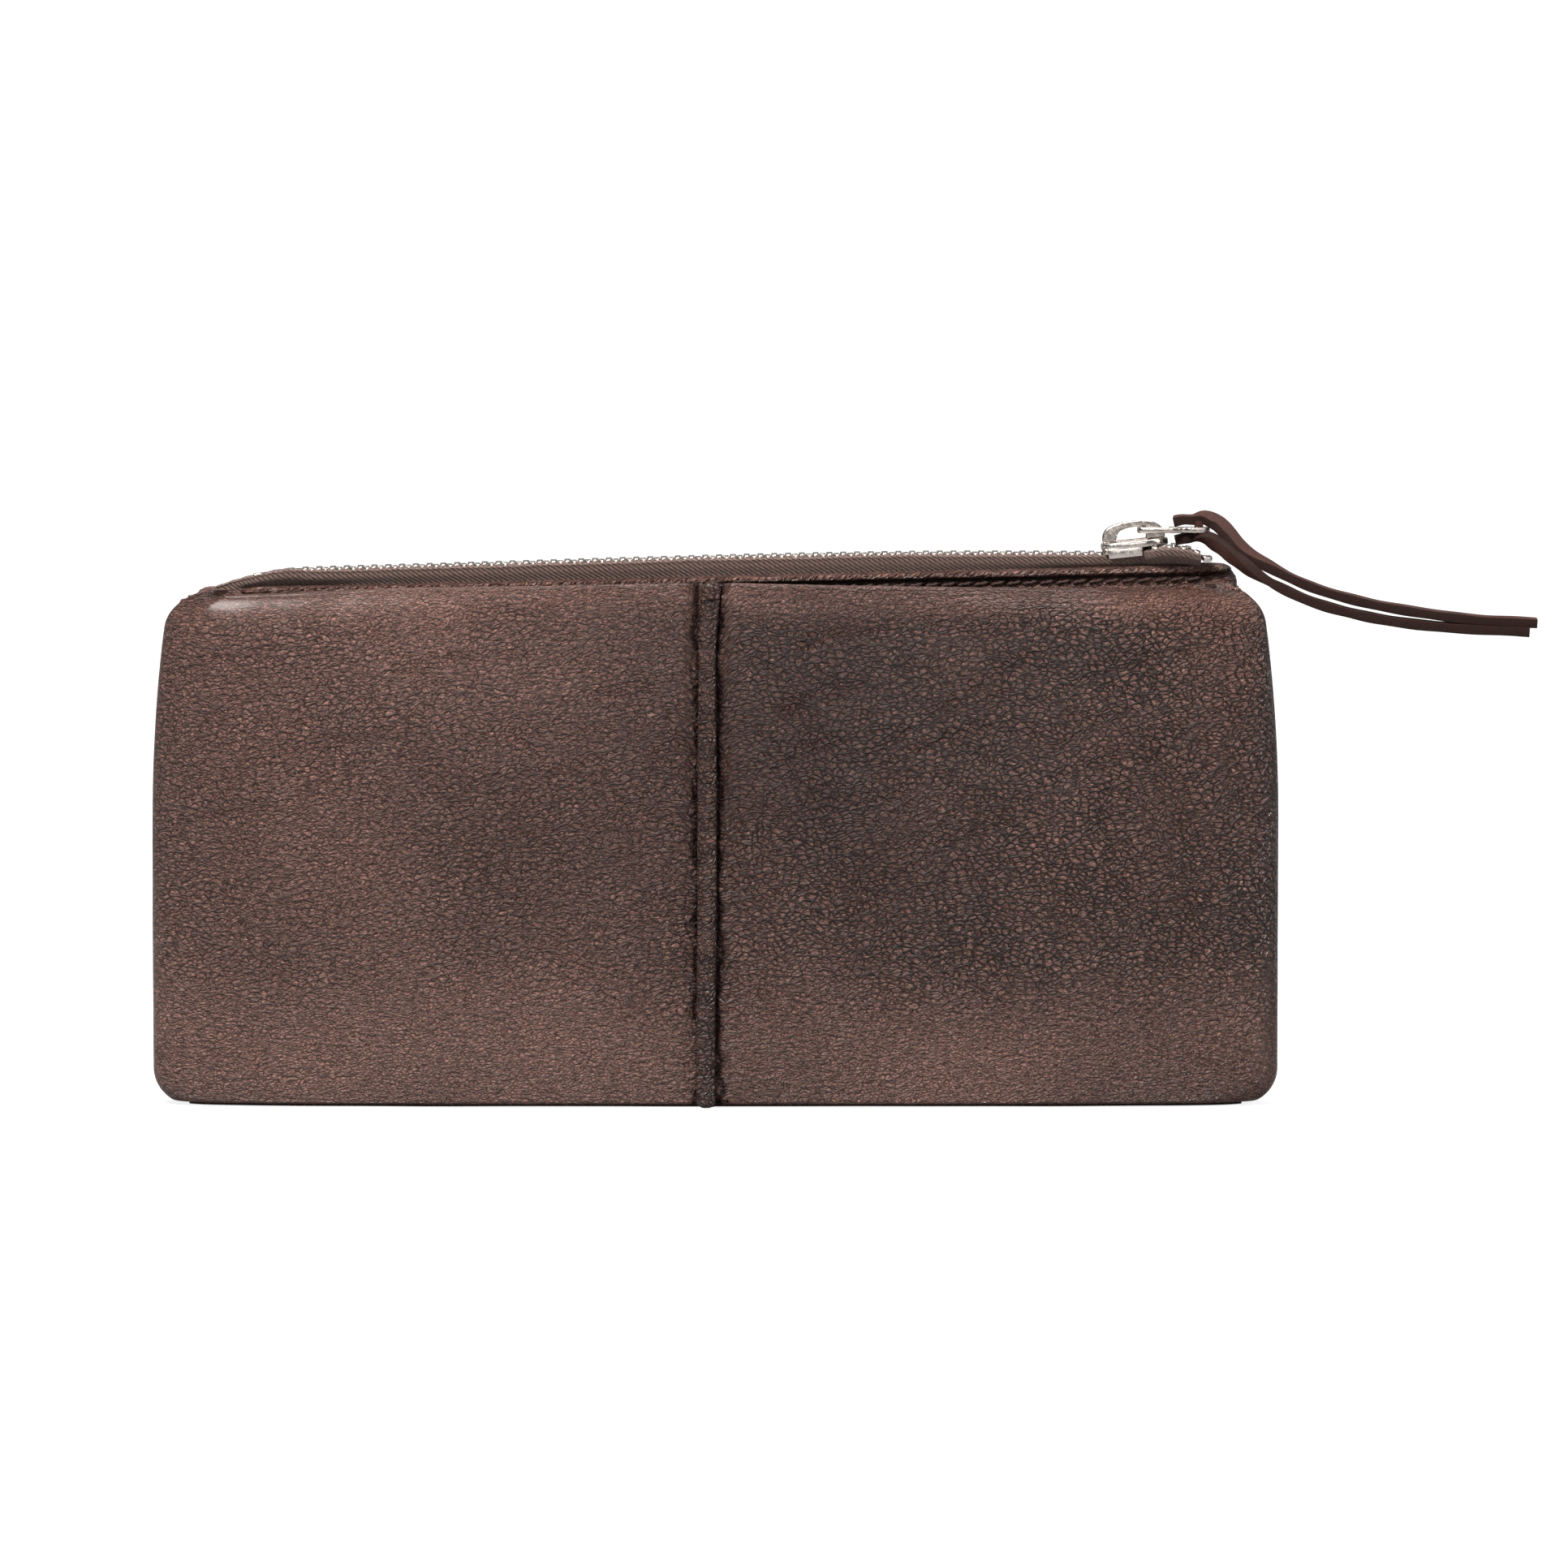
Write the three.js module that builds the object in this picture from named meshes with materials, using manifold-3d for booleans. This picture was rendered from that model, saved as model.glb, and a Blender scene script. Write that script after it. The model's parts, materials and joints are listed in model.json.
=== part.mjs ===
// Zippered leather pouch, standing upright on its base.
// Millimetres, +Z up, +X along the length, the front face looks towards -Y.
// The origin is at the middle of the base, on the surface that the pouch stands on.
import * as THREE from 'three';
import { mergeVertices } from 'three/addons/utils/BufferGeometryUtils.js';
import Module from 'manifold-3d';

const wasm = await Module();
wasm.setup();

// ---- Driving dimensions ------------------------------------------------------------------
const GAP = 0.3;                // clearance between pieces that touch

// outer wrap
const HALF_LENGTH = 100;        // half of the length across the side seams
const PANEL_TOP = 92;           // height of the outer panels
const PANEL_PEAK = 1.2;         // how far the seam rib lifts the top edge
const BELLY_DEPTH = 13;         // half of the thickness at the fullest height
const BELLY_HEIGHT = 35;
const BASE_DEPTH = 9.6;         // half of the thickness at the base fold
const TOP_DEPTH = 8;            // half of the thickness at the top edge
const PLAN_POWER = 4;           // power of the superellipse seen from above
const SEAM_HALF_GAP = 0.7;      // half of the opening line between front and back at the sides
const BASE_CORNER = 6.5;        // corner radii of the silhouette
const TOP_CORNER = 8.6;
const TOP_TAPER = 2.5;          // how much each side draws in towards the top
const TAPER_START = 50;
const FOLD_HEIGHT = 1.7;        // the walls start here, just above the base leather
const LEATHER = 1.4;            // thickness of the outer leather
const BOARD = 0.5;              // stiffener
const CLOTH = 0.4;              // linings
const BASE_PLAN_LENGTH = 95;
const BASE_PLAN_DEPTH = 9;
const BASE_PLAN_SHARE = 0.985;  // the base leather stops at this share of its plan length

// raised seam rib down the middle
const RIB_X = -1.2;
const RIB_HALF_WIDTH = 1.7;
const RIB_PROUD = 1.3;
const RIB_ABOVE_TOP = 0.7;

// inner zipped pouch
const POUCH_X = 0.6;            // its centre sits a little to the right
const POUCH_HALF_LENGTH = 91.8;
const POUCH_BOTTOM = 4.6;
const POUCH_TOP = 94.35;        // height of its rolled edge at x = 0
const POUCH_SLOPE = 0.0225;     // the edge rises to the right
const POUCH_BELLY_HEIGHT = 40;
const POUCH_BELLY_DEPTH = 5;
const POUCH_BOTTOM_DEPTH = 3.2;
const POUCH_TOP_DEPTH = 3.5;
const POUCH_LEATHER = 1.0;
const POUCH_CORNER = 4;
const LINING_TOP = 86;
const LINING_FLOOR = { halfLength: 84, top: 4.1, bottom: 3.3 };

// topstitching below the rolled edge
const STITCH = { start: -82, end: 86, drop: 2.1, radius: 0.25, clear: 0.65, steps: 30 };

// zip fastener, size 5
const TOOTH_PITCH = 2.45;
const TOOTH_WIDTH = 0.95;
const TOOTH_HALF_HEIGHT = 0.6;
const TOOTH_TIP = 0.9;          // how far a tooth reaches over the middle
const SPINE_NEAR = 1.9;         // the strip that the teeth are clamped to
const SPINE_FAR = 2.9;
const CHAIN_START = -80;
const CHAIN_END = 86;
const TAPE_START = -82.5;
const TAPE_END = 86;
const TAPE_BOTTOM = 88;
const TAPE_HALF = 0.25;
const TAPE_BESIDE_TEETH = 3.35; // from the middle to the tape's middle, where it holds the teeth
const TAPE_LIP = 0.1;           // how far the tape stands above the chain's middle
const TAPE_SHOULDER = 1.1;      // height of the upright part beside the teeth
const SHOULDER_MIN = 0.25;

// line of the chain, seen from the front
const CROWN = { height: 97.3, slope: 0.012, bow: 0.00014 };
const SAG = { drop: 1, from: 50, to: -55 };       // it lies lower towards the closed end
const LEFT_TURN = { x: -72, drop: 3.5, reach: 18 };
const RIGHT_TURN = { x: 80, drop: 1, reach: 8 };
const OPEN_END_LIFT = { x: 81, rise: 1.5, width: 7 };
const PARTING = { from: 75.2, to: 78.4, half: 1.95 };
const TOP_STOP = { length: 1.7, near: 1.9, far: 4.6, height: 0.9 };
const BOTTOM_STOP = { length: 1.7, half: 1.2, halfHeight: 0.9 };

// slider, pull tab and thong
const SLIDER_X = 74.5;
const SLIDER_TILT = THREE.MathUtils.degToRad(6);
const PLATE_HALF_WIDTH = 4.6;
const PLATE_BOTTOM = 0.95;
const PLATE_TOP = 2.15;
const FLANGE = { start: -4.9, end: 1, inside: 3.95, bottom: -0.6 };
const LOWER_PLATE = { start: -5.4, end: 6, half: 1.75, bottom: -1.9, top: -0.9 };
const SLIDER_OUTLINE = [
  [-5.9, -3.4], [-4.9, -4.6], [3.6, -4.6], [6, -2.6], [6, 2.6], [3.6, 4.6], [-4.9, 4.6], [-5.9, 3.4],
];
const WEDGE_OUTLINE = [[3.9, 0], [4.6, -0.7], [5.9, -0.7], [5.9, 0.7], [4.6, 0.7]];
const BRIDGE_HALF_WIDTH = 1.2;
const TAB_PIVOT = { x: 1.3, z: 3.9 };   // in the slider's own frame
const TAB_THICKNESS = 1.0;
const TAB_HALF_WIDTH = 2.6;
const LACE_WIDTH = 3.0;
const LACE_THICKNESS = 1.3;

// ---- Materials ---------------------------------------------------------------------------
function finish(color, roughness, metalness = 0) {
  return new THREE.MeshStandardMaterial({ color, roughness, metalness });
}

const LEATHER_LOOK = finish(0x614d46, 0.55);
const RIB_LOOK = finish(0x57443d, 0.6);
const BOARD_LOOK = finish(0xb9ad98, 0.9);
const LINING_LOOK = finish(0x4a3f39, 0.85);
const TAPE_LOOK = finish(0x5a4740, 0.9);
const THREAD_LOOK = finish(0x3a2c28, 0.8);
const METAL_LOOK = finish(0xd6d6d8, 0.22, 1);
const THONG_LOOK = finish(0x3d2d28, 0.65);

// ---- Mesh helpers ------------------------------------------------------------------------
function signedVolume(points, faces) {
  let sum = 0;
  const [a, b, c] = [new THREE.Vector3(), new THREE.Vector3(), new THREE.Vector3()];
  for (const [i, j, k] of faces) {
    a.fromArray(points[i]);
    b.fromArray(points[j]);
    c.fromArray(points[k]);
    sum += a.dot(b.cross(c)) / 6;
  }
  return sum;
}

function geometryFrom(points, faces) {
  const outward = signedVolume(points, faces) > 0;
  const index = faces.flatMap(([i, j, k]) => (outward ? [i, j, k] : [i, k, j]));
  const geometry = new THREE.BufferGeometry();
  geometry.setAttribute('position', new THREE.Float32BufferAttribute(points.flat(), 3));
  geometry.setIndex(index);
  geometry.computeVertexNormals();
  return geometry;
}

// A closed sheet between two grids of points: face(i, j, side) with side 0 outside, 1 inside.
function sheet(columns, rows, face) {
  const points = [];
  for (const side of [0, 1]) {
    for (let j = 0; j <= rows; j += 1) {
      for (let i = 0; i <= columns; i += 1) points.push(face(i, j, side));
    }
  }
  const id = (i, j, side) => side * (rows + 1) * (columns + 1) + j * (columns + 1) + i;
  const faces = [];
  const quad = (a, b, c, d) => faces.push([a, b, c], [a, c, d]);
  for (let j = 0; j < rows; j += 1) {
    for (let i = 0; i < columns; i += 1) {
      quad(id(i, j, 0), id(i + 1, j, 0), id(i + 1, j + 1, 0), id(i, j + 1, 0));
      quad(id(i, j, 1), id(i, j + 1, 1), id(i + 1, j + 1, 1), id(i + 1, j, 1));
    }
  }
  for (let i = 0; i < columns; i += 1) {
    quad(id(i + 1, 0, 0), id(i, 0, 0), id(i, 0, 1), id(i + 1, 0, 1));
    quad(id(i, rows, 0), id(i + 1, rows, 0), id(i + 1, rows, 1), id(i, rows, 1));
  }
  for (let j = 0; j < rows; j += 1) {
    quad(id(0, j, 0), id(0, j + 1, 0), id(0, j + 1, 1), id(0, j, 1));
    quad(id(columns, j + 1, 0), id(columns, j, 0), id(columns, j, 1), id(columns, j + 1, 1));
  }
  return geometryFrom(points, faces);
}

function shapeOf(points) {
  return new THREE.Shape(points.map(([x, y]) => new THREE.Vector2(x, y)));
}

function extruded(shape, depth) {
  return new THREE.ExtrudeGeometry(shape, { depth, bevelEnabled: false, curveSegments: 6 });
}

function solidOf(geometry) {
  geometry.deleteAttribute('normal');
  geometry.deleteAttribute('uv');
  const merged = mergeVertices(geometry, 1e-4);
  return new wasm.Manifold(new wasm.Mesh({
    numProp: 3,
    vertProperties: new Float32Array(merged.attributes.position.array),
    triVerts: new Uint32Array(merged.index.array),
  }));
}

function geometryOf(solid) {
  const mesh = solid.getMesh();
  const geometry = new THREE.BufferGeometry();
  geometry.setAttribute('position', new THREE.Float32BufferAttribute(mesh.vertProperties, 3));
  geometry.setIndex(Array.from(mesh.triVerts));
  geometry.computeVertexNormals();
  return geometry;
}

function box(x0, x1, y0, y1, z0, z1) {
  const geometry = new THREE.BoxGeometry(x1 - x0, y1 - y0, z1 - z0);
  return geometry.translate((x0 + x1) / 2, (y0 + y1) / 2, (z0 + z1) / 2);
}

const lerp = THREE.MathUtils.lerp;
const smooth = THREE.MathUtils.smoothstep;

// ---- Shape of the outer wrap -------------------------------------------------------------
function wrapHalfLength(z) {
  const taper = z > TAPER_START ? ((z - TAPER_START) / (PANEL_TOP - TAPER_START)) ** 2 : 0;
  const below = Math.max(0, BASE_CORNER - z);
  const corner = BASE_CORNER - Math.sqrt(BASE_CORNER ** 2 - below ** 2);
  return HALF_LENGTH - TOP_TAPER * taper - corner;
}

function wrapDepth(z) {
  if (z < BELLY_HEIGHT) {
    return BELLY_DEPTH - (BELLY_DEPTH - BASE_DEPTH) * ((BELLY_HEIGHT - z) / BELLY_HEIGHT) ** 2;
  }
  const rise = (z - BELLY_HEIGHT) / (PANEL_TOP - BELLY_HEIGHT);
  return BELLY_DEPTH - (BELLY_DEPTH - TOP_DEPTH) * rise ** 2;
}

// Half length of a panel at a height: its top corners are rounded off.
function panelEdge(z) {
  const above = Math.max(0, z - (PANEL_TOP - TOP_CORNER));
  const corner = TOP_CORNER - Math.sqrt(Math.max(0, TOP_CORNER ** 2 - above ** 2));
  return wrapHalfLength(z) - corner;
}

// Angle of the superellipse at a fraction of its half length (0 at the side seam).
function planAngle(fraction) {
  return Math.acos(Math.min(1, fraction) ** (PLAN_POWER / 2));
}

function planPoint(angle, halfLength, depth) {
  return [
    halfLength * Math.cos(angle) ** (2 / PLAN_POWER),
    depth * Math.sin(angle) ** (2 / PLAN_POWER) + SEAM_HALF_GAP,
  ];
}

function liftedHeight(x, z) {
  const near = Math.max(0, 1 - Math.abs(x - RIB_X) / HALF_LENGTH);
  return z + PANEL_PEAK * near ** 2 * (z / PANEL_TOP) ** 4;
}

const CORNER_ANGLES = [0, 25, 50, 70, 90];
const PANEL_ROWS = [FOLD_HEIGHT, 4, 8, 16, 26, 38, 50, 62, 73].concat(
  CORNER_ANGLES.map((a) => PANEL_TOP - TOP_CORNER * (1 - Math.sin(THREE.MathUtils.degToRad(a)))),
);

// Half of a front or back panel: facing is -1 for the front and 1 for the back,
// hand is -1 for the left half and 1 for the right half.
function panelGeometry(facing, hand) {
  const columns = 9;
  return sheet(columns, PANEL_ROWS.length - 1, (i, j, side) => {
    const z = PANEL_ROWS[j];
    const inset = side * LEATHER;
    const halfLength = wrapHalfLength(z) - inset;
    const ribEdge = Math.abs(RIB_X + hand * (RIB_HALF_WIDTH + GAP));
    const start = planAngle(ribEdge / halfLength);
    const end = planAngle(panelEdge(z) / wrapHalfLength(z));
    const angle = lerp(start, end, i / columns);
    const [reach, depth] = planPoint(angle, halfLength, wrapDepth(z) - inset);
    const x = i === 0 ? RIB_X + hand * (RIB_HALF_WIDTH + GAP) : hand * reach;
    return [x, facing * depth, liftedHeight(x, z)];
  });
}

// A full-width layer inside the panels, from one side seam to the other.
function layerGeometry(facing, inset, thickness) {
  const columns = 14;
  const rows = [4, 12, 26, 44, 64, LINING_TOP];
  return sheet(columns, rows.length - 1, (i, j, side) => {
    const depthIn = inset + side * thickness;
    const angle = Math.PI * (i / columns);
    const hand = i <= columns / 2 ? 1 : -1;
    const folded = hand > 0 ? angle : Math.PI - angle;
    const [reach, depth] = planPoint(
      Math.min(folded, Math.PI / 2),
      wrapHalfLength(rows[j]) - depthIn,
      wrapDepth(rows[j]) - depthIn,
    );
    return [hand * reach, facing * depth, rows[j]];
  });
}

// The rib follows the panels' middle line and stands proud of them with a round back.
function ribGeometry(facing) {
  const columns = 6;
  const rows = PANEL_ROWS.concat(PANEL_TOP + RIB_ABOVE_TOP);
  return sheet(columns, rows.length - 1, (i, j, side) => {
    const across = lerp(-1, 1, i / columns);
    const x = RIB_X + across * RIB_HALF_WIDTH;
    const proud = RIB_PROUD * Math.sqrt(Math.max(0, 1 - across ** 2));
    const depth = wrapDepth(rows[j]) + SEAM_HALF_GAP + (side ? -LEATHER : proud);
    return [x, facing * depth, liftedHeight(x, rows[j])];
  });
}

function basePanelGeometry(hand) {
  const columns = 9;
  const rows = [-1, -0.5, 0.5, 1];
  const inner = Math.abs(RIB_X + hand * (RIB_HALF_WIDTH + GAP));
  return sheet(columns, rows.length - 1, (i, j, side) => {
    const angle = lerp(planAngle(inner / BASE_PLAN_LENGTH), planAngle(BASE_PLAN_SHARE), i / columns);
    const [reach, depth] = planPoint(angle, BASE_PLAN_LENGTH, BASE_PLAN_DEPTH - SEAM_HALF_GAP);
    const x = i === 0 ? RIB_X + hand * (RIB_HALF_WIDTH + GAP) : hand * reach;
    return [x, rows[j] * depth, side * LEATHER];
  });
}

function baseRibGeometry() {
  return box(RIB_X - RIB_HALF_WIDTH, RIB_X + RIB_HALF_WIDTH,
    -BASE_PLAN_DEPTH, BASE_PLAN_DEPTH, 0, LEATHER);
}

// ---- Shape of the inner zipped pouch -----------------------------------------------------
function pouchTop(x) {
  return POUCH_TOP + POUCH_SLOPE * x;
}

function pouchDepth(z) {
  if (z < POUCH_BELLY_HEIGHT) {
    const drop = (POUCH_BELLY_HEIGHT - z) / (POUCH_BELLY_HEIGHT - POUCH_BOTTOM);
    return POUCH_BELLY_DEPTH - (POUCH_BELLY_DEPTH - POUCH_BOTTOM_DEPTH) * drop ** 2;
  }
  const rise = (z - POUCH_BELLY_HEIGHT) / (POUCH_TOP - POUCH_BELLY_HEIGHT);
  return POUCH_BELLY_DEPTH - (POUCH_BELLY_DEPTH - POUCH_TOP_DEPTH) * rise ** 2;
}

// One wall of the pouch, or the lining on its inside when inset is more than zero.
function pouchWallGeometry(facing, inset, thickness, rows, sloping) {
  const columns = 16;
  const top = rows[rows.length - 1];
  return sheet(columns, rows.length - 1, (i, j, side) => {
    const z = rows[j];
    const depthIn = inset + side * thickness;
    const angle = Math.PI * (i / columns);
    const hand = i <= columns / 2 ? 1 : -1;
    const above = sloping ? Math.max(0, z - (top - POUCH_CORNER)) : 0;
    const corner = POUCH_CORNER - Math.sqrt(POUCH_CORNER ** 2 - above ** 2);
    const halfLength = POUCH_HALF_LENGTH - depthIn;
    const start = planAngle((halfLength - corner) / halfLength);
    const folded = lerp(start, Math.PI / 2, 1 - Math.abs(1 - (2 * angle) / Math.PI));
    const [reach, depth] = planPoint(folded, halfLength, pouchDepth(z) - depthIn);
    const x = POUCH_X + hand * reach;
    const slope = sloping ? POUCH_SLOPE * x * (z / top) : 0;
    return [x, facing * depth, z + slope];
  });
}

function facingGeometry(facing) {
  const corners = [0, 35, 65, 90].map(
    (a) => POUCH_TOP - POUCH_CORNER * (1 - Math.sin(THREE.MathUtils.degToRad(a))),
  );
  const rows = [POUCH_BOTTOM, 14, 26, 40, 56, 74].concat(corners);
  return pouchWallGeometry(facing, 0, POUCH_LEATHER, rows, true);
}

function pouchLiningGeometry(facing) {
  const rows = [POUCH_BOTTOM + 1, 18, 40, 62, LINING_TOP];
  return pouchWallGeometry(facing, POUCH_LEATHER + GAP, CLOTH, rows, false);
}

function pouchBottomGeometry() {
  const { halfLength, top, bottom } = LINING_FLOOR;
  return box(-halfLength, halfLength, -POUCH_BOTTOM_DEPTH, POUCH_BOTTOM_DEPTH, bottom, top);
}

// ---- Zip ---------------------------------------------------------------------------------
// Height of the chain: a slight crown, a lift at the open end beside the slider, and both
// ends turned down round the pouch's corners.
function chainHeight(x) {
  const crown = CROWN.height + CROWN.slope * x - CROWN.bow * x * x;
  const sag = SAG.drop * (1 - smooth(x, SAG.to, SAG.from));
  const left = LEFT_TURN.drop * (Math.max(0, LEFT_TURN.x - x) / LEFT_TURN.reach) ** 2;
  const right = RIGHT_TURN.drop * (Math.max(0, x - RIGHT_TURN.x) / RIGHT_TURN.reach) ** 2;
  const lift = OPEN_END_LIFT.rise * Math.exp(-(((x - OPEN_END_LIFT.x) / OPEN_END_LIFT.width) ** 2));
  return crown - sag - left - right + lift;
}

// Each row of teeth stands this far off the middle: the rows part inside the slider.
function chainSpread(x) {
  return PARTING.half * smooth(x, PARTING.from, PARTING.to);
}

// A comb: a strip with square teeth, bent to the chain's line. The back row is half a pitch on,
// so its teeth fill the gaps of the front row.
function teethGeometry(facing) {
  const points = [];
  const faces = [];
  const known = new Map();
  const vertex = (x, y, up) => {
    const key = `${x.toFixed(3)},${y},${up}`;
    if (!known.has(key)) {
      known.set(key, points.length);
      const z = chainHeight(x) + (up ? TOOTH_HALF_HEIGHT : -TOOTH_HALF_HEIGHT);
      points.push([x, facing * (y + chainSpread(x)), z]);
    }
    return known.get(key);
  };
  const quad = (a, b, c, d) => faces.push([a, b, c], [a, c, d]);
  const wall = (xa, ya, xb, yb) => quad(
    vertex(xa, ya, false), vertex(xb, yb, false), vertex(xb, yb, true), vertex(xa, ya, true),
  );
  const slab = (xa, xb, near, far) => {
    quad(vertex(xa, near, true), vertex(xb, near, true), vertex(xb, far, true), vertex(xa, far, true));
    quad(vertex(xa, near, false), vertex(xa, far, false), vertex(xb, far, false), vertex(xb, near, false));
  };

  const stations = [CHAIN_START];
  const first = CHAIN_START + TOOTH_PITCH * (facing > 0 ? 0.75 : 0.25);
  for (let x = first; x + TOOTH_WIDTH < CHAIN_END; x += TOOTH_PITCH) stations.push(x, x + TOOTH_WIDTH);
  stations.push(CHAIN_END);

  for (let i = 0; i + 1 < stations.length; i += 1) {
    const [x0, x1] = [stations[i], stations[i + 1]];
    slab(x0, x1, SPINE_NEAR, SPINE_FAR);
    wall(x1, SPINE_FAR, x0, SPINE_FAR);
    if (i % 2 === 0) {
      wall(x0, SPINE_NEAR, x1, SPINE_NEAR);
    } else {
      slab(x0, x1, -TOOTH_TIP, SPINE_NEAR);
      wall(x0, -TOOTH_TIP, x1, -TOOTH_TIP);
      wall(x0, SPINE_NEAR, x0, -TOOTH_TIP);
      wall(x1, -TOOTH_TIP, x1, SPINE_NEAR);
    }
  }
  wall(CHAIN_START, SPINE_FAR, CHAIN_START, SPINE_NEAR);
  wall(CHAIN_END, SPINE_NEAR, CHAIN_END, SPINE_FAR);
  return geometryFrom(points, faces);
}

// Distance from the middle to the tape's own middle, where it stands inside the pouch wall.
function tapeInside(x) {
  const halfLength = POUCH_HALF_LENGTH - POUCH_LEATHER;
  const angle = planAngle(Math.abs(x - POUCH_X) / halfLength);
  const [, wall] = planPoint(angle, halfLength, POUCH_TOP_DEPTH - POUCH_LEATHER);
  return wall - GAP - TAPE_HALF;
}

// Stations along the tape: wide steps on the straight part, short ones beside the slider.
const WIDE_STEPS = 18;
const SHORT_STEPS = 12;
const SHORT_FROM = 70;

function tapeStation(i) {
  if (i < WIDE_STEPS) return lerp(TAPE_START, SHORT_FROM, i / WIDE_STEPS);
  return lerp(SHORT_FROM, TAPE_END, (i - WIDE_STEPS) / SHORT_STEPS);
}

// The tape stands up inside the pouch's edge, then leans out over the strip of teeth.
function tapeGeometry(facing) {
  return sheet(WIDE_STEPS + SHORT_STEPS, 3, (i, j, side) => {
    const x = tapeStation(i);
    const low = pouchTop(x) + GAP;
    const high = chainHeight(x) + TAPE_LIP;
    const z = [TAPE_BOTTOM, low, Math.max(low + SHOULDER_MIN, high - TAPE_SHOULDER), high][j];
    const middle = j < 2 ? tapeInside(x) : TAPE_BESIDE_TEETH + chainSpread(x);
    return [x, facing * (middle + (side ? -TAPE_HALF : TAPE_HALF)), z];
  });
}

function topStopGeometry(facing) {
  const start = CHAIN_END + GAP;
  const end = start + TOP_STOP.length;
  const low = pouchTop(end) + GAP;
  const [y0, y1] = facing > 0 ? [TOP_STOP.near, TOP_STOP.far] : [-TOP_STOP.far, -TOP_STOP.near];
  return box(start, end, y0, y1, low, low + TOP_STOP.height);
}

function bottomStopGeometry() {
  const { length, half, halfHeight } = BOTTOM_STOP;
  const end = CHAIN_START - GAP;
  const z = chainHeight(end - length / 2);
  return box(end - length, end, -half, half, z - halfHeight, z + halfHeight);
}

// A thread that runs along the facing, below the rolled edge.
function stitchGeometry(facing) {
  const points = [];
  const bends = 20;
  for (let i = 0; i <= bends; i += 1) {
    const x = lerp(STITCH.start, STITCH.end, i / bends);
    const fraction = Math.abs(x - POUCH_X) / POUCH_HALF_LENGTH;
    const [, depth] = planPoint(planAngle(fraction), POUCH_HALF_LENGTH, pouchDepth(POUCH_TOP - STITCH.drop));
    points.push(new THREE.Vector3(x, facing * (depth + STITCH.clear), pouchTop(x) - STITCH.drop));
  }
  return tube(points, STITCH.radius, STITCH.radius, STITCH.steps);
}

// ---- Slider, bridge and pull tab ---------------------------------------------------------
function sliderBodyGeometry() {
  const overlap = 0.1;
  const topPlate = extruded(shapeOf(SLIDER_OUTLINE), PLATE_TOP - PLATE_BOTTOM);
  let solid = solidOf(topPlate.translate(0, 0, PLATE_BOTTOM));
  const { inside } = FLANGE;
  for (const [y0, y1] of [[inside, PLATE_HALF_WIDTH], [-PLATE_HALF_WIDTH, -inside]]) {
    const flange = box(FLANGE.start, FLANGE.end, y0, y1, FLANGE.bottom, PLATE_BOTTOM + overlap);
    solid = solid.add(solidOf(flange));
  }
  const { start, end, half, bottom, top } = LOWER_PLATE;
  solid = solid.add(solidOf(box(start, end, -half, half, bottom, top)));
  const wedge = extruded(shapeOf(WEDGE_OUTLINE), PLATE_BOTTOM - top + 2 * overlap);
  solid = solid.add(solidOf(wedge.translate(0, 0, top - overlap)));
  return geometryOf(solid);
}

function bridgeGeometry() {
  const foot = PLATE_TOP + GAP;
  const arch = shapeOf([
    [-5.6, foot], [-3, foot], [-2.8, 3.6], [-1.8, 4.5], [-0.6, 4.75], [2.2, 4.75], [2.2, foot],
    [5.6, foot], [5.4, 3.9], [4.2, 5], [1.5, 5.6], [-1.5, 5.6], [-3.5, 5], [-5, 3.5],
  ]);
  const geometry = extruded(arch, 2 * BRIDGE_HALF_WIDTH);
  return geometry.rotateX(Math.PI / 2).translate(0, BRIDGE_HALF_WIDTH, 0);
}

// A flat bar with an eye round the bridge at one end and a slot for the thong at the other.
function tabGeometry() {
  const w = TAB_HALF_WIDTH;
  const outline = shapeOf([
    [-0.5, -2], [0, -w], [6, -w], [7.6, -1.9], [8.6, -w], [11.6, -w], [12.3, -2],
    [12.3, 2], [11.6, w], [8.6, w], [7.6, 1.9], [6, w], [0, w], [-0.5, 2],
  ]);
  outline.holes.push(shapeOf([[0.5, -1.6], [0.5, 1.6], [5.3, 1.6], [5.3, -1.6]]));
  outline.holes.push(shapeOf([[9.4, -1.75], [9.4, 1.75], [11.3, 1.75], [11.3, -1.75]]));
  return extruded(outline, TAB_THICKNESS).translate(0, 0, -TAB_THICKNESS / 2);
}

// ---- Thong -------------------------------------------------------------------------------
// An eight-sided tube along a smooth curve through the points. It is wide across the curve's
// plane and thin within it.
function tube(points, halfWidth, halfThickness, steps) {
  const section = [];
  for (let i = 0; i < 8; i += 1) {
    const angle = (i + 0.5) * (Math.PI / 4);
    section.push([halfWidth * Math.cos(angle), halfThickness * Math.sin(angle)]);
  }
  const path = new THREE.CatmullRomCurve3(points, false, 'centripetal');
  return new THREE.ExtrudeGeometry(shapeOf(section), { steps, extrudePath: path, bevelEnabled: false });
}

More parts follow.
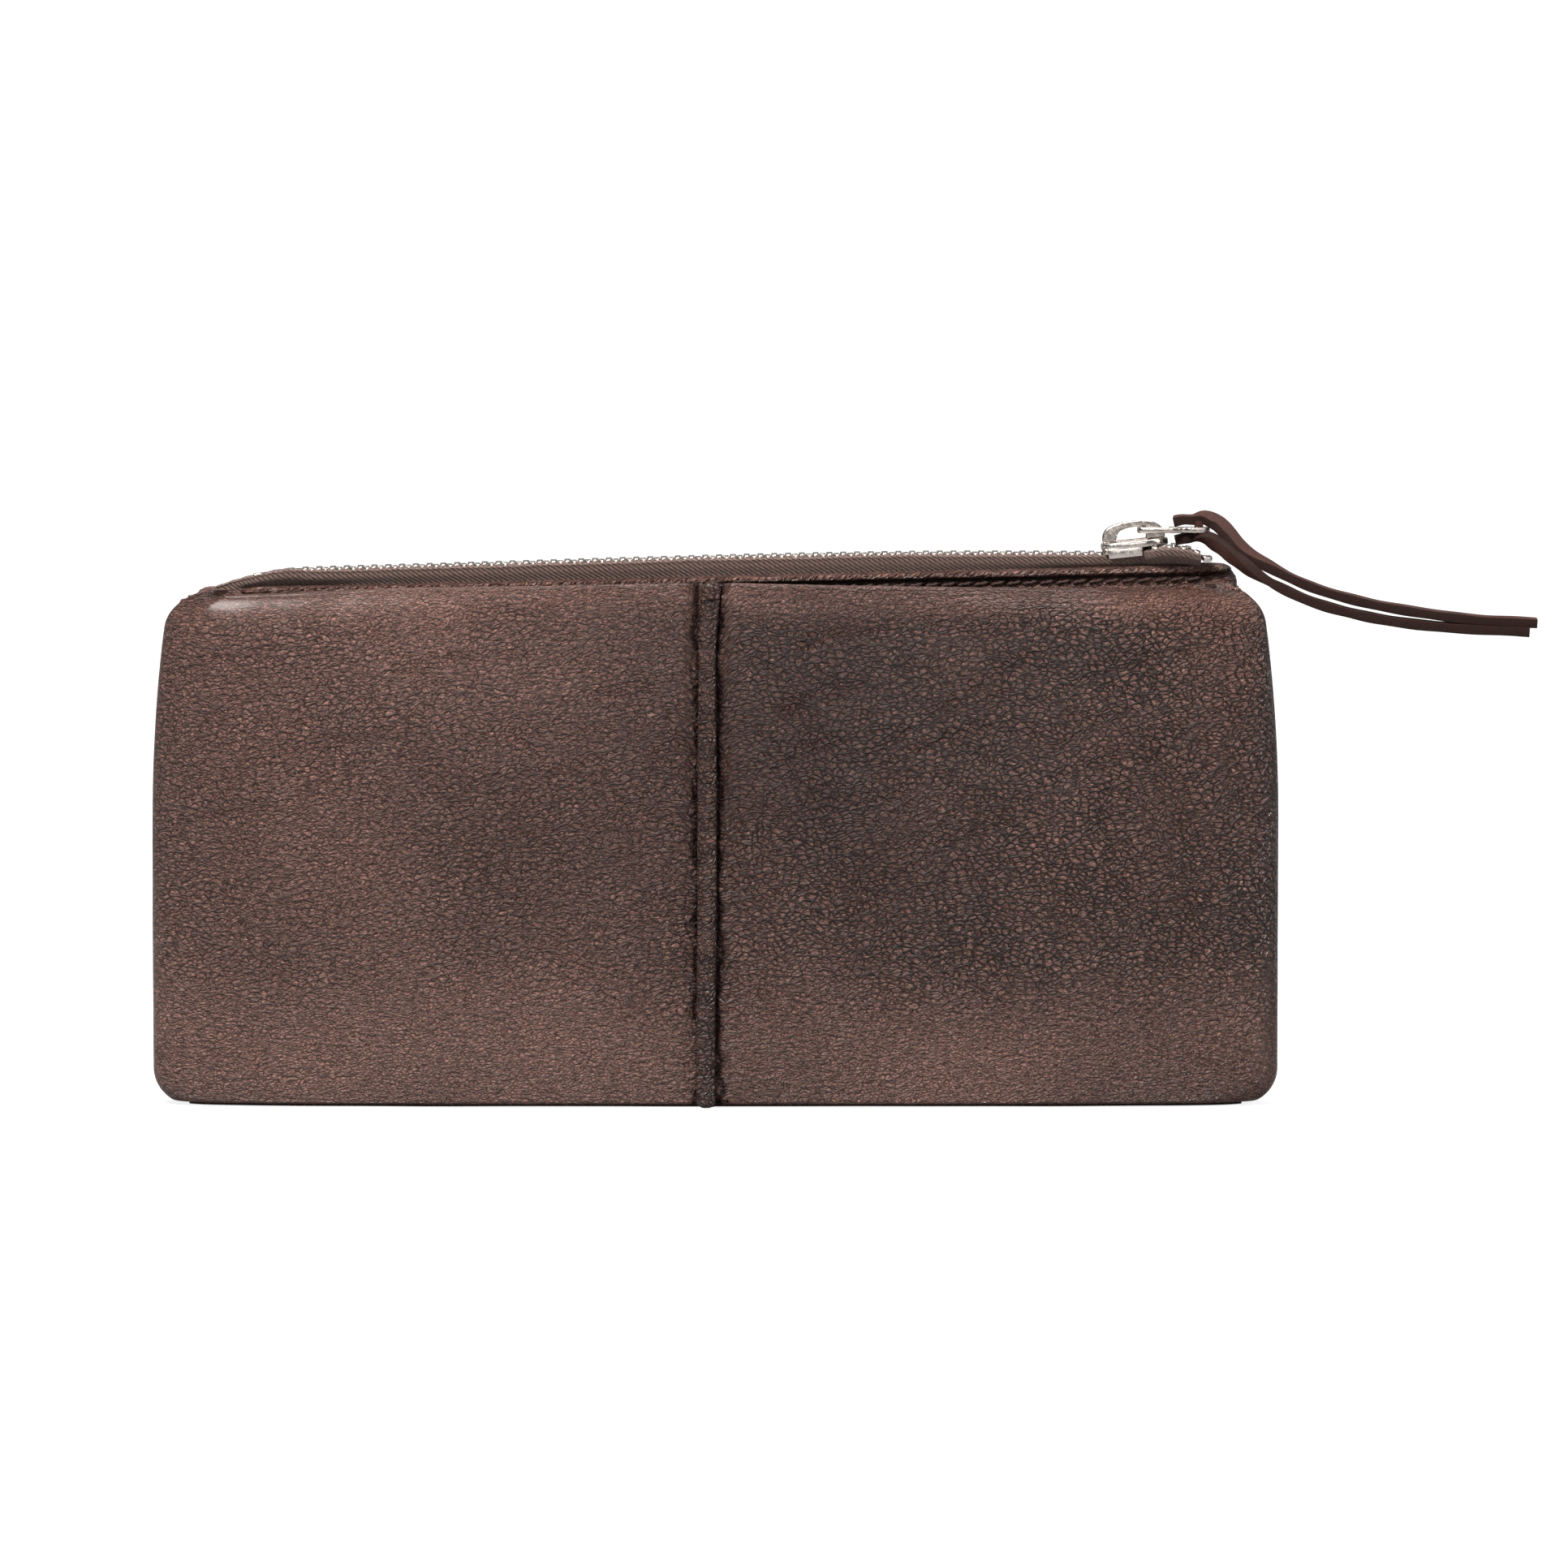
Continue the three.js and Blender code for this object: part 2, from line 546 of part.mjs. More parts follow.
// The lace passes through the tab's slot. One strand leaves over the bar, the other under it. Both
// come forward of the front wall before they drop below its top edge.
const UPPER_ROUTE = [
  [84.9, 0, 103.7], [86.7, -0.3, 104.3], [88.9, -1.6, 103.4], [90.9, -4.8, 101.5],
  [93.4, -8.4, 98.6], [97.8, -11, 96], [102.5, -12, 93.6], [107.5, -12.4, 91.7],
  [115.9, -12.6, 89.5], [125.2, -12.7, 87.9], [133.9, -12.8, 86.8], [144.8, -12.8, 86.2],
];
const LOWER_ROUTE = [
  [85.2, -0.2, 100.6], [86.8, -1.5, 100], [89.1, -4.8, 98.8], [91.6, -8.6, 96.6],
  [94.6, -11.2, 94.1], [98.7, -12.6, 91.7], [105, -13.2, 89.2], [112.3, -13.2, 87.4],
  [119.5, -13.2, 86.1], [128.4, -13.2, 84.9], [143.4, -13.1, 83.8],
];

function strandGeometry(route) {
  const points = route.map(([x, y, z]) => new THREE.Vector3(x, y, z));
  return tube(points, LACE_WIDTH / 2, LACE_THICKNESS / 2, 26);
}

// ---- Assembly ----------------------------------------------------------------------------
const pouch = new THREE.Group();

function add(parent, name, geometry, material) {
  const mesh = new THREE.Mesh(geometry, material);
  mesh.name = name;
  parent.add(mesh);
  return mesh;
}

const SIDES = [['front', -1], ['back', 1]];
const HANDS = [['left', -1], ['right', 1]];
const boardInset = LEATHER + GAP;
const liningInset = boardInset + BOARD + GAP;

for (const [sideName, facing] of SIDES) {
  for (const [handName, hand] of HANDS) {
    add(pouch, `${sideName}_panel_${handName}`, panelGeometry(facing, hand), LEATHER_LOOK);
  }
  add(pouch, `centre_rib_${sideName}`, ribGeometry(facing), RIB_LOOK);
  add(pouch, `${sideName}_stiffener`, layerGeometry(facing, boardInset, BOARD), BOARD_LOOK);
  add(pouch, `${sideName}_pocket_lining`, layerGeometry(facing, liningInset, CLOTH), LINING_LOOK);
  add(pouch, `pouch_wall_${sideName}`, facingGeometry(facing), LEATHER_LOOK);
  add(pouch, `pouch_lining_${sideName}`, pouchLiningGeometry(facing), LINING_LOOK);
  add(pouch, `topstitch_${sideName}`, stitchGeometry(facing), THREAD_LOOK);
  add(pouch, `zip_tape_${sideName}`, tapeGeometry(facing), TAPE_LOOK);
  add(pouch, `zip_teeth_${sideName}`, teethGeometry(facing), METAL_LOOK);
  add(pouch, `zip_top_stop_${sideName}`, topStopGeometry(facing), METAL_LOOK);
}

for (const [handName, hand] of HANDS) {
  add(pouch, `base_panel_${handName}`, basePanelGeometry(hand), LEATHER_LOOK);
}
add(pouch, 'centre_rib_base', baseRibGeometry(), RIB_LOOK);
add(pouch, 'pouch_lining_bottom', pouchBottomGeometry(), LINING_LOOK);
add(pouch, 'zip_bottom_stop', bottomStopGeometry(), METAL_LOOK);

const slider = new THREE.Group();
slider.position.set(SLIDER_X, 0, chainHeight(SLIDER_X));
pouch.add(slider);

const sliderShell = new THREE.Group();
sliderShell.rotation.y = -SLIDER_TILT;
slider.add(sliderShell);
add(sliderShell, 'slider_body', sliderBodyGeometry(), METAL_LOOK);
add(sliderShell, 'slider_bridge', bridgeGeometry(), METAL_LOOK);

const pull = new THREE.Group();
pull.position.set(
  TAB_PIVOT.x * Math.cos(SLIDER_TILT) - TAB_PIVOT.z * Math.sin(SLIDER_TILT),
  0,
  TAB_PIVOT.x * Math.sin(SLIDER_TILT) + TAB_PIVOT.z * Math.cos(SLIDER_TILT),
);
slider.add(pull);
add(pull, 'pull_tab', tabGeometry(), METAL_LOOK);

add(pouch, 'thong_upper', strandGeometry(UPPER_ROUTE), THONG_LOOK);
add(pouch, 'thong_lower', strandGeometry(LOWER_ROUTE), THONG_LOOK);

export default pouch;
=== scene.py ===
"""A long leather pouch with a zipped inner compartment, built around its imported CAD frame.

Shapes are worked out in millimetres in the frame's axes (+X along the length, the front towards -Y,
+Z up) and turned into metres when a mesh is made.
"""

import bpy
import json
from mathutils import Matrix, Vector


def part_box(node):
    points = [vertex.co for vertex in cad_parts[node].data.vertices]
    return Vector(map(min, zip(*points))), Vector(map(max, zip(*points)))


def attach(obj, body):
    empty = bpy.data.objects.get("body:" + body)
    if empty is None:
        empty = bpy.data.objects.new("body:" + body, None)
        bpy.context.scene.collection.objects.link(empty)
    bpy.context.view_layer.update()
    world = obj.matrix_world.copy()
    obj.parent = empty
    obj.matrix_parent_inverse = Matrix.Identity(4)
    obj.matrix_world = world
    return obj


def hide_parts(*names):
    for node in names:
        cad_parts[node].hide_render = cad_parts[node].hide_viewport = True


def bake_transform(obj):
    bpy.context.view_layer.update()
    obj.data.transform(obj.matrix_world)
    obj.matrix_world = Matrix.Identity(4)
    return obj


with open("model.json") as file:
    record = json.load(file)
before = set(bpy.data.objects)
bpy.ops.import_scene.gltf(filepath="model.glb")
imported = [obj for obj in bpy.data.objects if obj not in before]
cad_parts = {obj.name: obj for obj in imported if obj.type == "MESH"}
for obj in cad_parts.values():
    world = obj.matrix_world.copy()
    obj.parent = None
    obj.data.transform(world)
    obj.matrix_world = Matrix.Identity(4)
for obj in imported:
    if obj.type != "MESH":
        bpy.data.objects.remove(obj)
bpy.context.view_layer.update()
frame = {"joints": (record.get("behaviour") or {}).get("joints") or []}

import json
import math
import random

import bmesh
import bpy
import numpy as np
from mathutils import Matrix, Vector

MM = 0.001


def low(node):
    """Lowest corner of a CAD node, in millimetres."""
    return [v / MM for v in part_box(node)[0]]


def high(node):
    """Highest corner of a CAD node, in millimetres."""
    return [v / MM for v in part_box(node)[1]]


# ---- Driving dimensions, in millimetres --------------------------------------------------------
LEATHER = 1.4
HALF_LENGTH = high("front_panel_right")[0]
PANEL_TOP = 92.0
PANEL_PEAK = 1.2
LEFT_DROOP = 1.1          # the left end of the top edge hangs a little lower
BELLY_DEPTH = 13.65
BELLY_HEIGHT = 35.0
BASE_DEPTH = 10.25
TOP_DEPTH = 8.65
BASE_CORNER = 6.5
TOP_CORNER = 6.6
TOP_TAPER = 3.1
TAPER_START = 50.0
PLAN_POWER = 4.0
SEAM_EDGE = 0.06          # the front and back leather meet this far from the middle plane
FOLD_RADIUS = 1.1         # crisp fold at the foot of the walls

RIB_X = (low("centre_rib_front")[0] + high("centre_rib_front")[0]) / 2
RIB_HALF_WIDTH = 1.75
RIB_PROUD = 1.25

POUCH_X = (low("pouch_wall_front")[0] + high("pouch_wall_front")[0]) / 2
POUCH_HALF_LENGTH = (high("pouch_wall_front")[0] - low("pouch_wall_front")[0]) / 2
POUCH_BOTTOM = low("pouch_wall_front")[2]
POUCH_TOP = 94.05
POUCH_SLOPE = 0.0225
POUCH_CORNER = 3.4
POUCH_LEFT_CORNER = 10.0
POUCH_LEATHER = 1.0
POUCH_WALL_RUN = 89.2     # distances below the top edge run from 0 to this at the bottom
POUCH_FULLEST = 40.0      # height at which the inner pouch is deepest
POUCH_DEPTH = 5.65
STITCH_BELOW_EDGE = 2.3
STITCH_PITCH = 2.9
STITCH_START, STITCH_END = -80.5, 85.5

TOOTH_PITCH = 2.45
CHAIN_START = low("zip_teeth_front")[0]
CHAIN_END = high("zip_teeth_front")[0]
TAPE_START, TAPE_END = -89.0, 86.0

SLIDER_X = 74.5
SLIDER_TILT = math.radians(6)
LACE_WIDTH = 3.0
LACE_THICKNESS = 1.6
LACE_CORNER = 0.16


# ---- Camera ------------------------------------------------------------------------------------
CAMERA_DISTANCE = 1.6
CAMERA_ELEVATION = math.radians(4)
VIEW_CENTRE = Vector((0.0122, -0.002, 0.0570))
VIEW_WIDTH = 0.2784       # width of the view at its centre
SENSOR = 36.0


def add_to_scene(name, data):
    made = bpy.data.objects.new(name, data)
    bpy.context.collection.objects.link(made)
    return made


def make_camera():
    data = bpy.data.cameras.new("camera")
    data.sensor_width = SENSOR
    data.lens = SENSOR * CAMERA_DISTANCE / VIEW_WIDTH
    data.clip_start = 0.01
    camera = add_to_scene("camera", data)
    away = Vector((0, -math.cos(CAMERA_ELEVATION), math.sin(CAMERA_ELEVATION)))
    camera.location = VIEW_CENTRE + CAMERA_DISTANCE * away
    camera.rotation_euler = (math.pi / 2 - CAMERA_ELEVATION, 0, 0)
    bpy.context.scene.camera = camera


make_camera()


# ---- Node helpers ------------------------------------------------------------------------------
class Graph:
    """Short names for the shader nodes that the materials use."""

    def __init__(self, name):
        self.material = bpy.data.materials.new(name)
        self.material.use_nodes = True
        self.tree = self.material.node_tree
        self.shader = self.tree.nodes["Principled BSDF"]

    def feed(self, socket, value):
        if isinstance(value, bpy.types.NodeSocket):
            self.tree.links.new(value, socket)
        else:
            socket.default_value = value

    def node(self, kind, inputs=(), **settings):
        made = self.tree.nodes.new(kind)
        for key, value in settings.items():
            setattr(made, key, value)
        for key, value in dict(inputs).items():
            self.feed(made.inputs[key], value)
        return made

    def math(self, operation, a, b=0.0, clamp=False):
        return self.node("ShaderNodeMath", {0: a, 1: b}, operation=operation, use_clamp=clamp).outputs[0]

    def add(self, a, b, clamp=False):
        return self.math("ADD", a, b, clamp)

    def times(self, a, b, clamp=False):
        return self.math("MULTIPLY", a, b, clamp)

    def scale(self, vector, factors):
        made = self.node("ShaderNodeVectorMath", {0: vector, 1: factors}, operation="MULTIPLY")
        return made.outputs[0]

    def shift(self, vector, other):
        return self.node("ShaderNodeVectorMath", {0: vector, 1: other}, operation="ADD").outputs[0]

    def noise(self, vector, scale, detail=2.0, roughness=0.5):
        inputs = {"Vector": vector, "Scale": scale, "Detail": detail, "Roughness": roughness}
        return self.node("ShaderNodeTexNoise", inputs)

    def cells(self, vector, scale, feature="DISTANCE_TO_EDGE"):
        inputs = {"Vector": vector, "Scale": scale}
        return self.node("ShaderNodeTexVoronoi", inputs, feature=feature).outputs["Distance"]

    def range(self, value, from_min, from_max, to_min=0.0, to_max=1.0, smooth=True):
        kind = "SMOOTHSTEP" if smooth else "LINEAR"
        inputs = {"Value": value, "From Min": from_min, "From Max": from_max,
                  "To Min": to_min, "To Max": to_max}
        return self.node("ShaderNodeMapRange", inputs, interpolation_type=kind).outputs["Result"]

    def mix(self, factor, a, b, blend="MIX"):
        made = self.node("ShaderNodeMix", {0: factor, 6: a, 7: b}, data_type="RGBA", blend_type=blend)
        return made.outputs[2]

    def shaded(self, colour, amount):
        """The colour, darker or lighter by the factor amount."""
        grey = self.node("ShaderNodeCombineColor", {0: amount, 1: amount, 2: amount}).outputs[0]
        return self.mix(1.0, colour, grey, blend="MULTIPLY")

    def attribute(self, name):
        return self.node("ShaderNodeAttribute", attribute_name=name).outputs["Fac"]

    def uv(self):
        return self.node("ShaderNodeUVMap").outputs["UV"]

    def bump(self, height, distance, strength=1.0):
        inputs = {"Height": height, "Distance": distance, "Strength": strength}
        return self.node("ShaderNodeBump", inputs).outputs["Normal"]

    def finish(self, **inputs):
        for key, value in inputs.items():
            self.feed(self.shader.inputs[key.replace("_", " ")], value)
        return self.material


def linear(red, green, blue):
    """A colour seen on a screen (0 to 255), as the linear value that shaders use."""
    def one(value):
        value /= 255
        return value / 12.92 if value <= 0.04045 else ((value + 0.055) / 1.055) ** 2.4
    return (one(red), one(green), one(blue), 1.0)


# ---- Materials ---------------------------------------------------------------------------------
def leather_material(name, base, dark, light):
    """Pebbled leather. UVs are in millimetres. The mesh attribute "grain" (0 to 1) is how coarse
    the pebbling is, "tone" (-1 to 1) darkens or lightens, and "groove" (0 to 1) is painted shade in seams and
    grooves."""
    g = Graph(name)
    uv = g.uv()
    drift = g.noise(uv, 0.11, 2.0).outputs["Color"]
    bent = g.shift(uv, g.scale(g.shift(drift, (-0.5, -0.5, 0.0)), (2.6, 2.6, 0.0)))
    fine_drift = g.noise(uv, 0.9, 2.0).outputs["Color"]
    bent = g.shift(bent, g.scale(g.shift(fine_drift, (-0.5, -0.5, 0.0)), (0.35, 0.35, 0.0)))
    flow = g.scale(bent, (0.74, 1.15, 1.0))
    grain = g.attribute("grain")
    patch = g.range(g.noise(uv, 0.07, 3.0, 0.6).outputs["Fac"], 0.3, 0.66, 0.6, 1.0)
    coarse = g.times(grain, patch)

    valley = g.range(g.cells(flow, 0.98), 0.0, 0.2)
    dome = g.math("POWER", g.cells(flow, 0.98, "F1"), 2.0)
    tiny = g.range(g.cells(flow, 1.6), 0.0, 0.3)
    wide = g.range(g.cells(g.scale(flow, (0.8, 1.0, 1.0)), 0.42), 0.0, 0.1)
    wrinkle = g.noise(g.scale(bent, (0.8, 2.0, 1.0)), 0.85, 4.0, 0.62).outputs["Fac"]
    pores = g.noise(uv, 4.5, 3.0, 0.7).outputs["Fac"]

    pebble = g.math("SUBTRACT", valley, g.times(dome, 0.8))
    height = g.times(pebble, g.add(g.times(coarse, 0.8), 0.1))
    height = g.add(height, g.times(wrinkle, 0.85))
    height = g.add(height, g.times(tiny, 0.22))
    height = g.add(height, g.times(pores, 0.17))
    height = g.add(height, g.times(wide, g.times(coarse, 0.28)))
    normal = g.bump(height, 0.001, 1.0)

    clouds = g.noise(uv, 0.035, 3.0, 0.55).outputs["Fac"]
    tone = g.add(g.attribute("tone"), g.range(clouds, 0.3, 0.7, -0.3, 0.3))
    # Painted shade in the wrinkles' troughs and painted highlight on their crests.
    tone = g.add(tone, g.range(wrinkle, 0.36, 0.64, -1.0, 1.0))
    shade = g.mix(g.range(tone, -1.3, 1.3, 0.0, 1.0, smooth=False), dark, light)
    middle = g.mix(0.35, shade, base)
    speckle = g.range(g.noise(uv, 2.3, 3.0, 0.75).outputs["Fac"], 0.33, 0.67, 0.62, 1.4)
    # Painted shade in the tiny pits at the small cells' edges.
    speckle = g.times(speckle, g.range(tiny, 0.0, 0.7, 0.5, 1.1))
    speckled = g.shaded(middle, speckle)
    low_spots = g.math("SUBTRACT", 1.0, valley)
    # Painted shade in the valleys between the pebbles.
    shaded_valleys = g.mix(g.times(low_spots, g.add(coarse, 0.12), clamp=True),
                    speckled, (dark[0] * 0.35, dark[1] * 0.3, dark[2] * 0.3, 1.0))
    # Painted shade in seams and grooves: the groove attribute darkens the colour there.
    groove_shade = g.attribute("groove")
    colour = g.mix(groove_shade, shaded_valleys, (dark[0] * 0.22, dark[1] * 0.22, dark[2] * 0.22, 1.0))
    polish = g.range(g.noise(uv, 0.09, 2.0).outputs["Fac"], 0.3, 0.7, 0.24, 0.38)
    rough = g.add(polish, g.times(low_spots, 0.2), clamp=True)
    shine = g.range(groove_shade, 0.0, 1.0, 0.36, 0.06)
    return g.finish(Base_Color=colour, Roughness=rough, Normal=normal, Specular_IOR_Level=shine,
                    Coat_Weight=0.05, Coat_Roughness=0.2)


def cloth_material(name, colour, pitch, diagonal, contrast=0.55, relief=0.00012):
    """Woven cloth: two sets of threads, crossed or in a diagonal twill. UVs are in millimetres."""
    g = Graph(name)
    uv = g.uv()
    parts = g.node("ShaderNodeSeparateXYZ", {0: uv}).outputs
    turn = 2 * math.pi / pitch
    slanted = g.add(g.times(parts[0], diagonal), parts[1])
    wobble = g.times(g.noise(uv, 0.8, 2.0).outputs["Fac"], 0.35 * pitch)
    along = g.math("SINE", g.times(g.add(slanted, wobble), turn))
    across = g.math("SINE", g.times(parts[0], turn * 0.9))
    threads = g.add(g.times(along, 0.5), g.times(across, 0.3))
    fuzz = g.noise(uv, 9.0, 3.0, 0.7).outputs["Fac"]
    height = g.add(threads, fuzz)
    shadow = g.range(height, -0.4, 1.2, 1.0 - contrast, 1.0 + 0.35 * contrast)
    return g.finish(Base_Color=g.shaded(colour, shadow), Roughness=0.85,
                    Normal=g.bump(height, relief), Sheen_Weight=0.08, Sheen_Roughness=0.5)


def metal_material(name, colour, rough, wear):
    """Bright plate with faint polishing lines and scuffs."""
    g = Graph(name)
    place = g.node("ShaderNodeTexCoord").outputs["Object"]
    scuffs = g.noise(place, 1400.0, 4.0, 0.65).outputs["Fac"]
    lines = g.noise(g.scale(place, (300.0, 3000.0, 3000.0)), 1.0, 2.0).outputs["Fac"]
    roughness = g.add(g.range(scuffs, 0.4, 0.75, rough, rough + wear), g.times(lines, 0.06))
    tarnish = g.range(g.noise(place, 500.0, 3.0).outputs["Fac"], 0.35, 0.75, 0.0, 0.35)
    worn = g.mix(tarnish, colour, (colour[0] * 0.55, colour[1] * 0.53, colour[2] * 0.5, 1.0))
    return g.finish(Base_Color=worn, Metallic=1.0, Roughness=roughness, Normal=g.bump(scuffs, 0.00002, 0.5))


def lace_material(name, face, edge):
    """Cut leather lace: a smooth face, fibrous edges. The attribute "edge" is 1 on the cut sides."""
    g = Graph(name)
    uv = g.uv()
    fibres = g.noise(g.scale(uv, (0.9, 5.0, 1.0)), 1.6, 4.0, 0.7).outputs["Fac"]
    pores = g.noise(uv, 4.0, 3.0, 0.7).outputs["Fac"]
    side = g.attribute("edge")
    tone = g.range(g.add(g.times(fibres, 0.6), g.times(pores, 0.4)),
                   0.32, 0.68, 0.62, 1.35)
    colour = g.mix(side, face, edge)
    return g.finish(Base_Color=g.shaded(colour, tone),
                    Roughness=g.range(side, 0.0, 1.0, 0.6, 0.85),
                    Normal=g.bump(g.add(fibres, pores), 0.0003), Specular_IOR_Level=0.18)


def thread_material(name, colour):
    """Twisted thread. UVs run round (x) and along (y), in millimetres."""
    g = Graph(name)
    parts = g.node("ShaderNodeSeparateXYZ", {0: g.uv()}).outputs
    twist = g.math("SINE", g.times(g.add(parts[0], g.times(parts[1], 1.1)), 9.0))
    shade = g.range(twist, -1.0, 1.0, 0.5, 1.3)
    return g.finish(Base_Color=g.shaded(colour, shade), Roughness=0.55,
                    Normal=g.bump(twist, 0.00005), Specular_IOR_Level=0.2)


LEATHER_BASE = linear(92, 62, 54)
LEATHER_DARK = linear(40, 20, 16)
LEATHER_LIGHT = linear(132, 98, 88)
leather = leather_material("pebbled_leather", LEATHER_BASE, LEATHER_DARK, LEATHER_LIGHT)
rib_leather = leather_material("seam_leather", linear(76, 50, 43), linear(36, 18, 14), linear(106, 76, 67))
cloth = cloth_material("lining_cloth", linear(78, 66, 60), 0.45, 0.0)
board = cloth_material("interlining", linear(190, 182, 168), 0.7, 0.3, 0.25)
tape_cloth = cloth_material("zip_tape_twill", linear(96, 74, 66), 0.8, 0.75, 0.6, 0.0003)
thread = thread_material("sewing_thread", linear(56, 39, 34))
nickel = metal_material("nickel_plate", linear(196, 190, 185), 0.16, 0.18)
lace_leather = lace_material("leather_lace", linear(58, 33, 27), linear(36, 20, 16))


# ---- Mesh helpers ------------------------------------------------------------------------------
def new_object(name, points, faces, material):
    mesh = bpy.data.meshes.new(name)
    mesh.from_pydata((np.asarray(points, float) * MM).tolist(), [], faces)
    mesh.materials.append(material)
    return add_to_scene(name, mesh)


def ring_faces(count, around, base=0):
    """Faces of a closed tube through count rings of around points, numbered from base."""
    start = base + np.arange(around)
    faces = []
    for k in range(count - 1):
        a = start + k * around
        b = np.roll(a, -1)
        faces += np.stack([a, b, b + around, a + around], 1).tolist()
    return faces + [start[::-1].tolist(), (start + (count - 1) * around).tolist()]


def settle(made, body, cad=None):
    """The piece rides on the body and takes the place of a CAD node."""
    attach(made, body)
    if cad:
        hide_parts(cad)


def settle_bent(made, slot, body, cad, *ends):
    """The piece's placement is baked into its mesh, and it takes the place of a CAD node."""
    bend(made, body, *ends)
    if cad:
        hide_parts(cad)


def smooth(made, angle=40):
    """Smooth shading, with sharp edges where faces meet at more than the angle."""
    mesh = made.data
    mesh.polygons.foreach_set("use_smooth", [True] * len(mesh.polygons))
    mesh.set_sharp_from_angle(angle=math.radians(angle))
    return made


def store(made, **values):
    for name, array in values.items():
        slot = made.data.attributes.new(name, "FLOAT", "POINT")
        slot.data.foreach_set("value", np.asarray(array, np.float32).ravel())


def face_out(made):
    work = bmesh.new()
    work.from_mesh(made.data)
    bmesh.ops.recalc_face_normals(work, faces=work.faces)
    work.to_mesh(made.data)
    work.free()


def grid_normals(grid):
    across = np.gradient(grid, axis=1)
    up = np.gradient(grid, axis=0)
    normal = np.cross(across, up)
    length = np.linalg.norm(normal, axis=2, keepdims=True)
    return normal / np.maximum(length, 1e-9)


def arc_lengths(grid, axis):
    steps = np.linalg.norm(np.diff(grid, axis=axis), axis=2)
    start = np.zeros_like(np.take(steps, [0], axis=axis))
    return np.concatenate([start, np.cumsum(steps, axis=axis)], axis=axis)


def thick_sheet(name, middle, half_thickness, outward, material, **attributes):
    """A closed sheet around a grid of middle points. outward is a direction that its face looks."""
    rows, columns = middle.shape[:2]
    normal = grid_normals(middle)
    if np.mean(normal @ np.asarray(outward, float)) < 0:
        normal = -normal
    offset = normal * np.broadcast_to(half_thickness, (rows, columns))[..., None]
    points = np.concatenate([(middle + offset).reshape(-1, 3), (middle - offset).reshape(-1, 3)])
    count = rows * columns
    index = np.arange(count).reshape(rows, columns)
    a, b = index[:-1, :-1].ravel(), index[:-1, 1:].ravel()
    c, d = index[1:, 1:].ravel(), index[1:, :-1].ravel()
    faces = np.concatenate([np.stack([a, b, c, d], 1), np.stack([a, d, c, b], 1) + count]).tolist()
    for line in (index[0], index[-1][::-1], index[:, 0][::-1], index[:, -1]):
        faces += [[int(q), int(p), int(p) + count, int(q) + count] for p, q in zip(line[:-1], line[1:])]
    made = new_object(name, points, faces, material)
    face_out(made)
    u, v = arc_lengths(middle, 1), arc_lengths(middle, 0)
    uv = np.stack([u.ravel(), v.ravel()], 1)
    set_uv(made, np.concatenate([uv, uv + [0.0, 300.0]]))
    both = {key: np.tile(np.broadcast_to(value, (rows, columns)).ravel(), 2)
            for key, value in attributes.items()}
    store(made, **both)
    return smooth(made)


def set_uv(made, per_point):
    mesh = made.data
    layer = mesh.uv_layers.new(name="UVMap")
    corners = np.empty(len(mesh.loops), int)
    mesh.loops.foreach_get("vertex_index", corners)
    layer.data.foreach_set("uv", np.asarray(per_point, float)[corners].astype(np.float32).ravel())


def sweep(name, path, sections, material):
    """A tube through the path's points. sections holds one ring of (x, y) offsets per point."""
    path = np.asarray(path, float)
    tangent = np.gradient(path, axis=0)
    tangent /= np.linalg.norm(tangent, axis=1, keepdims=True)
    side = np.tile([0.0, 1.0, 0.0], (len(path), 1))
    side -= tangent * np.sum(side * tangent, axis=1, keepdims=True)
    side /= np.linalg.norm(side, axis=1, keepdims=True)
    up = np.cross(tangent, side)
    rings = []
    for k, ring in enumerate(sections):
        ring = np.asarray(ring, float)
        rings.append(path[k] + ring[:, :1] * side[k] + ring[:, 1:] * up[k])
    rings = np.stack(rings)
    count, around = rings.shape[:2]
    made = new_object(name, rings.reshape(-1, 3), ring_faces(count, around), material)
    face_out(made)
    along = np.concatenate([[0.0], np.cumsum(np.linalg.norm(np.diff(path, axis=0), axis=1))])
    u = np.tile(np.arange(around) / around * 8.0, count)
    set_uv(made, np.stack([u, np.repeat(along, around)], 1))
    return made


def spline(points, steps):
    """Points along a smooth curve through the given ones (centripetal Catmull-Rom)."""
    points = np.asarray(points, float)
    points = np.vstack([2 * points[0] - points[1], points, 2 * points[-1] - points[-2]])
    knots = np.concatenate([[0.0], np.cumsum(np.sqrt(np.linalg.norm(np.diff(points, axis=0), axis=1)))])
    out = []
    for t in np.linspace(knots[1], knots[-2], steps):
        k = min(max(int(np.searchsorted(knots, t)) - 1, 1), len(points) - 3)
        t0, t1, t2, t3 = knots[k - 1:k + 3]
        p0, p1, p2, p3 = points[k - 1:k + 3]
        a1 = (t1 - t) / (t1 - t0) * p0 + (t - t0) / (t1 - t0) * p1
        a2 = (t2 - t) / (t2 - t1) * p1 + (t - t1) / (t2 - t1) * p2
        a3 = (t3 - t) / (t3 - t2) * p2 + (t - t2) / (t3 - t2) * p3
        b1 = (t2 - t) / (t2 - t0) * a1 + (t - t0) / (t2 - t0) * a2
        b2 = (t3 - t) / (t3 - t1) * a2 + (t - t1) / (t3 - t1) * a3
        out.append((t2 - t) / (t2 - t1) * b1 + (t - t1) / (t2 - t1) * b2)
    return np.array(out)


def step(value, start, end):
    t = np.clip((np.asarray(value, float) - start) / (end - start), 0, 1)
    return t * t * (3 - 2 * t)


def hump(value, centre, width):
    return np.exp(-(((np.asarray(value, float) - centre) / width) ** 2))


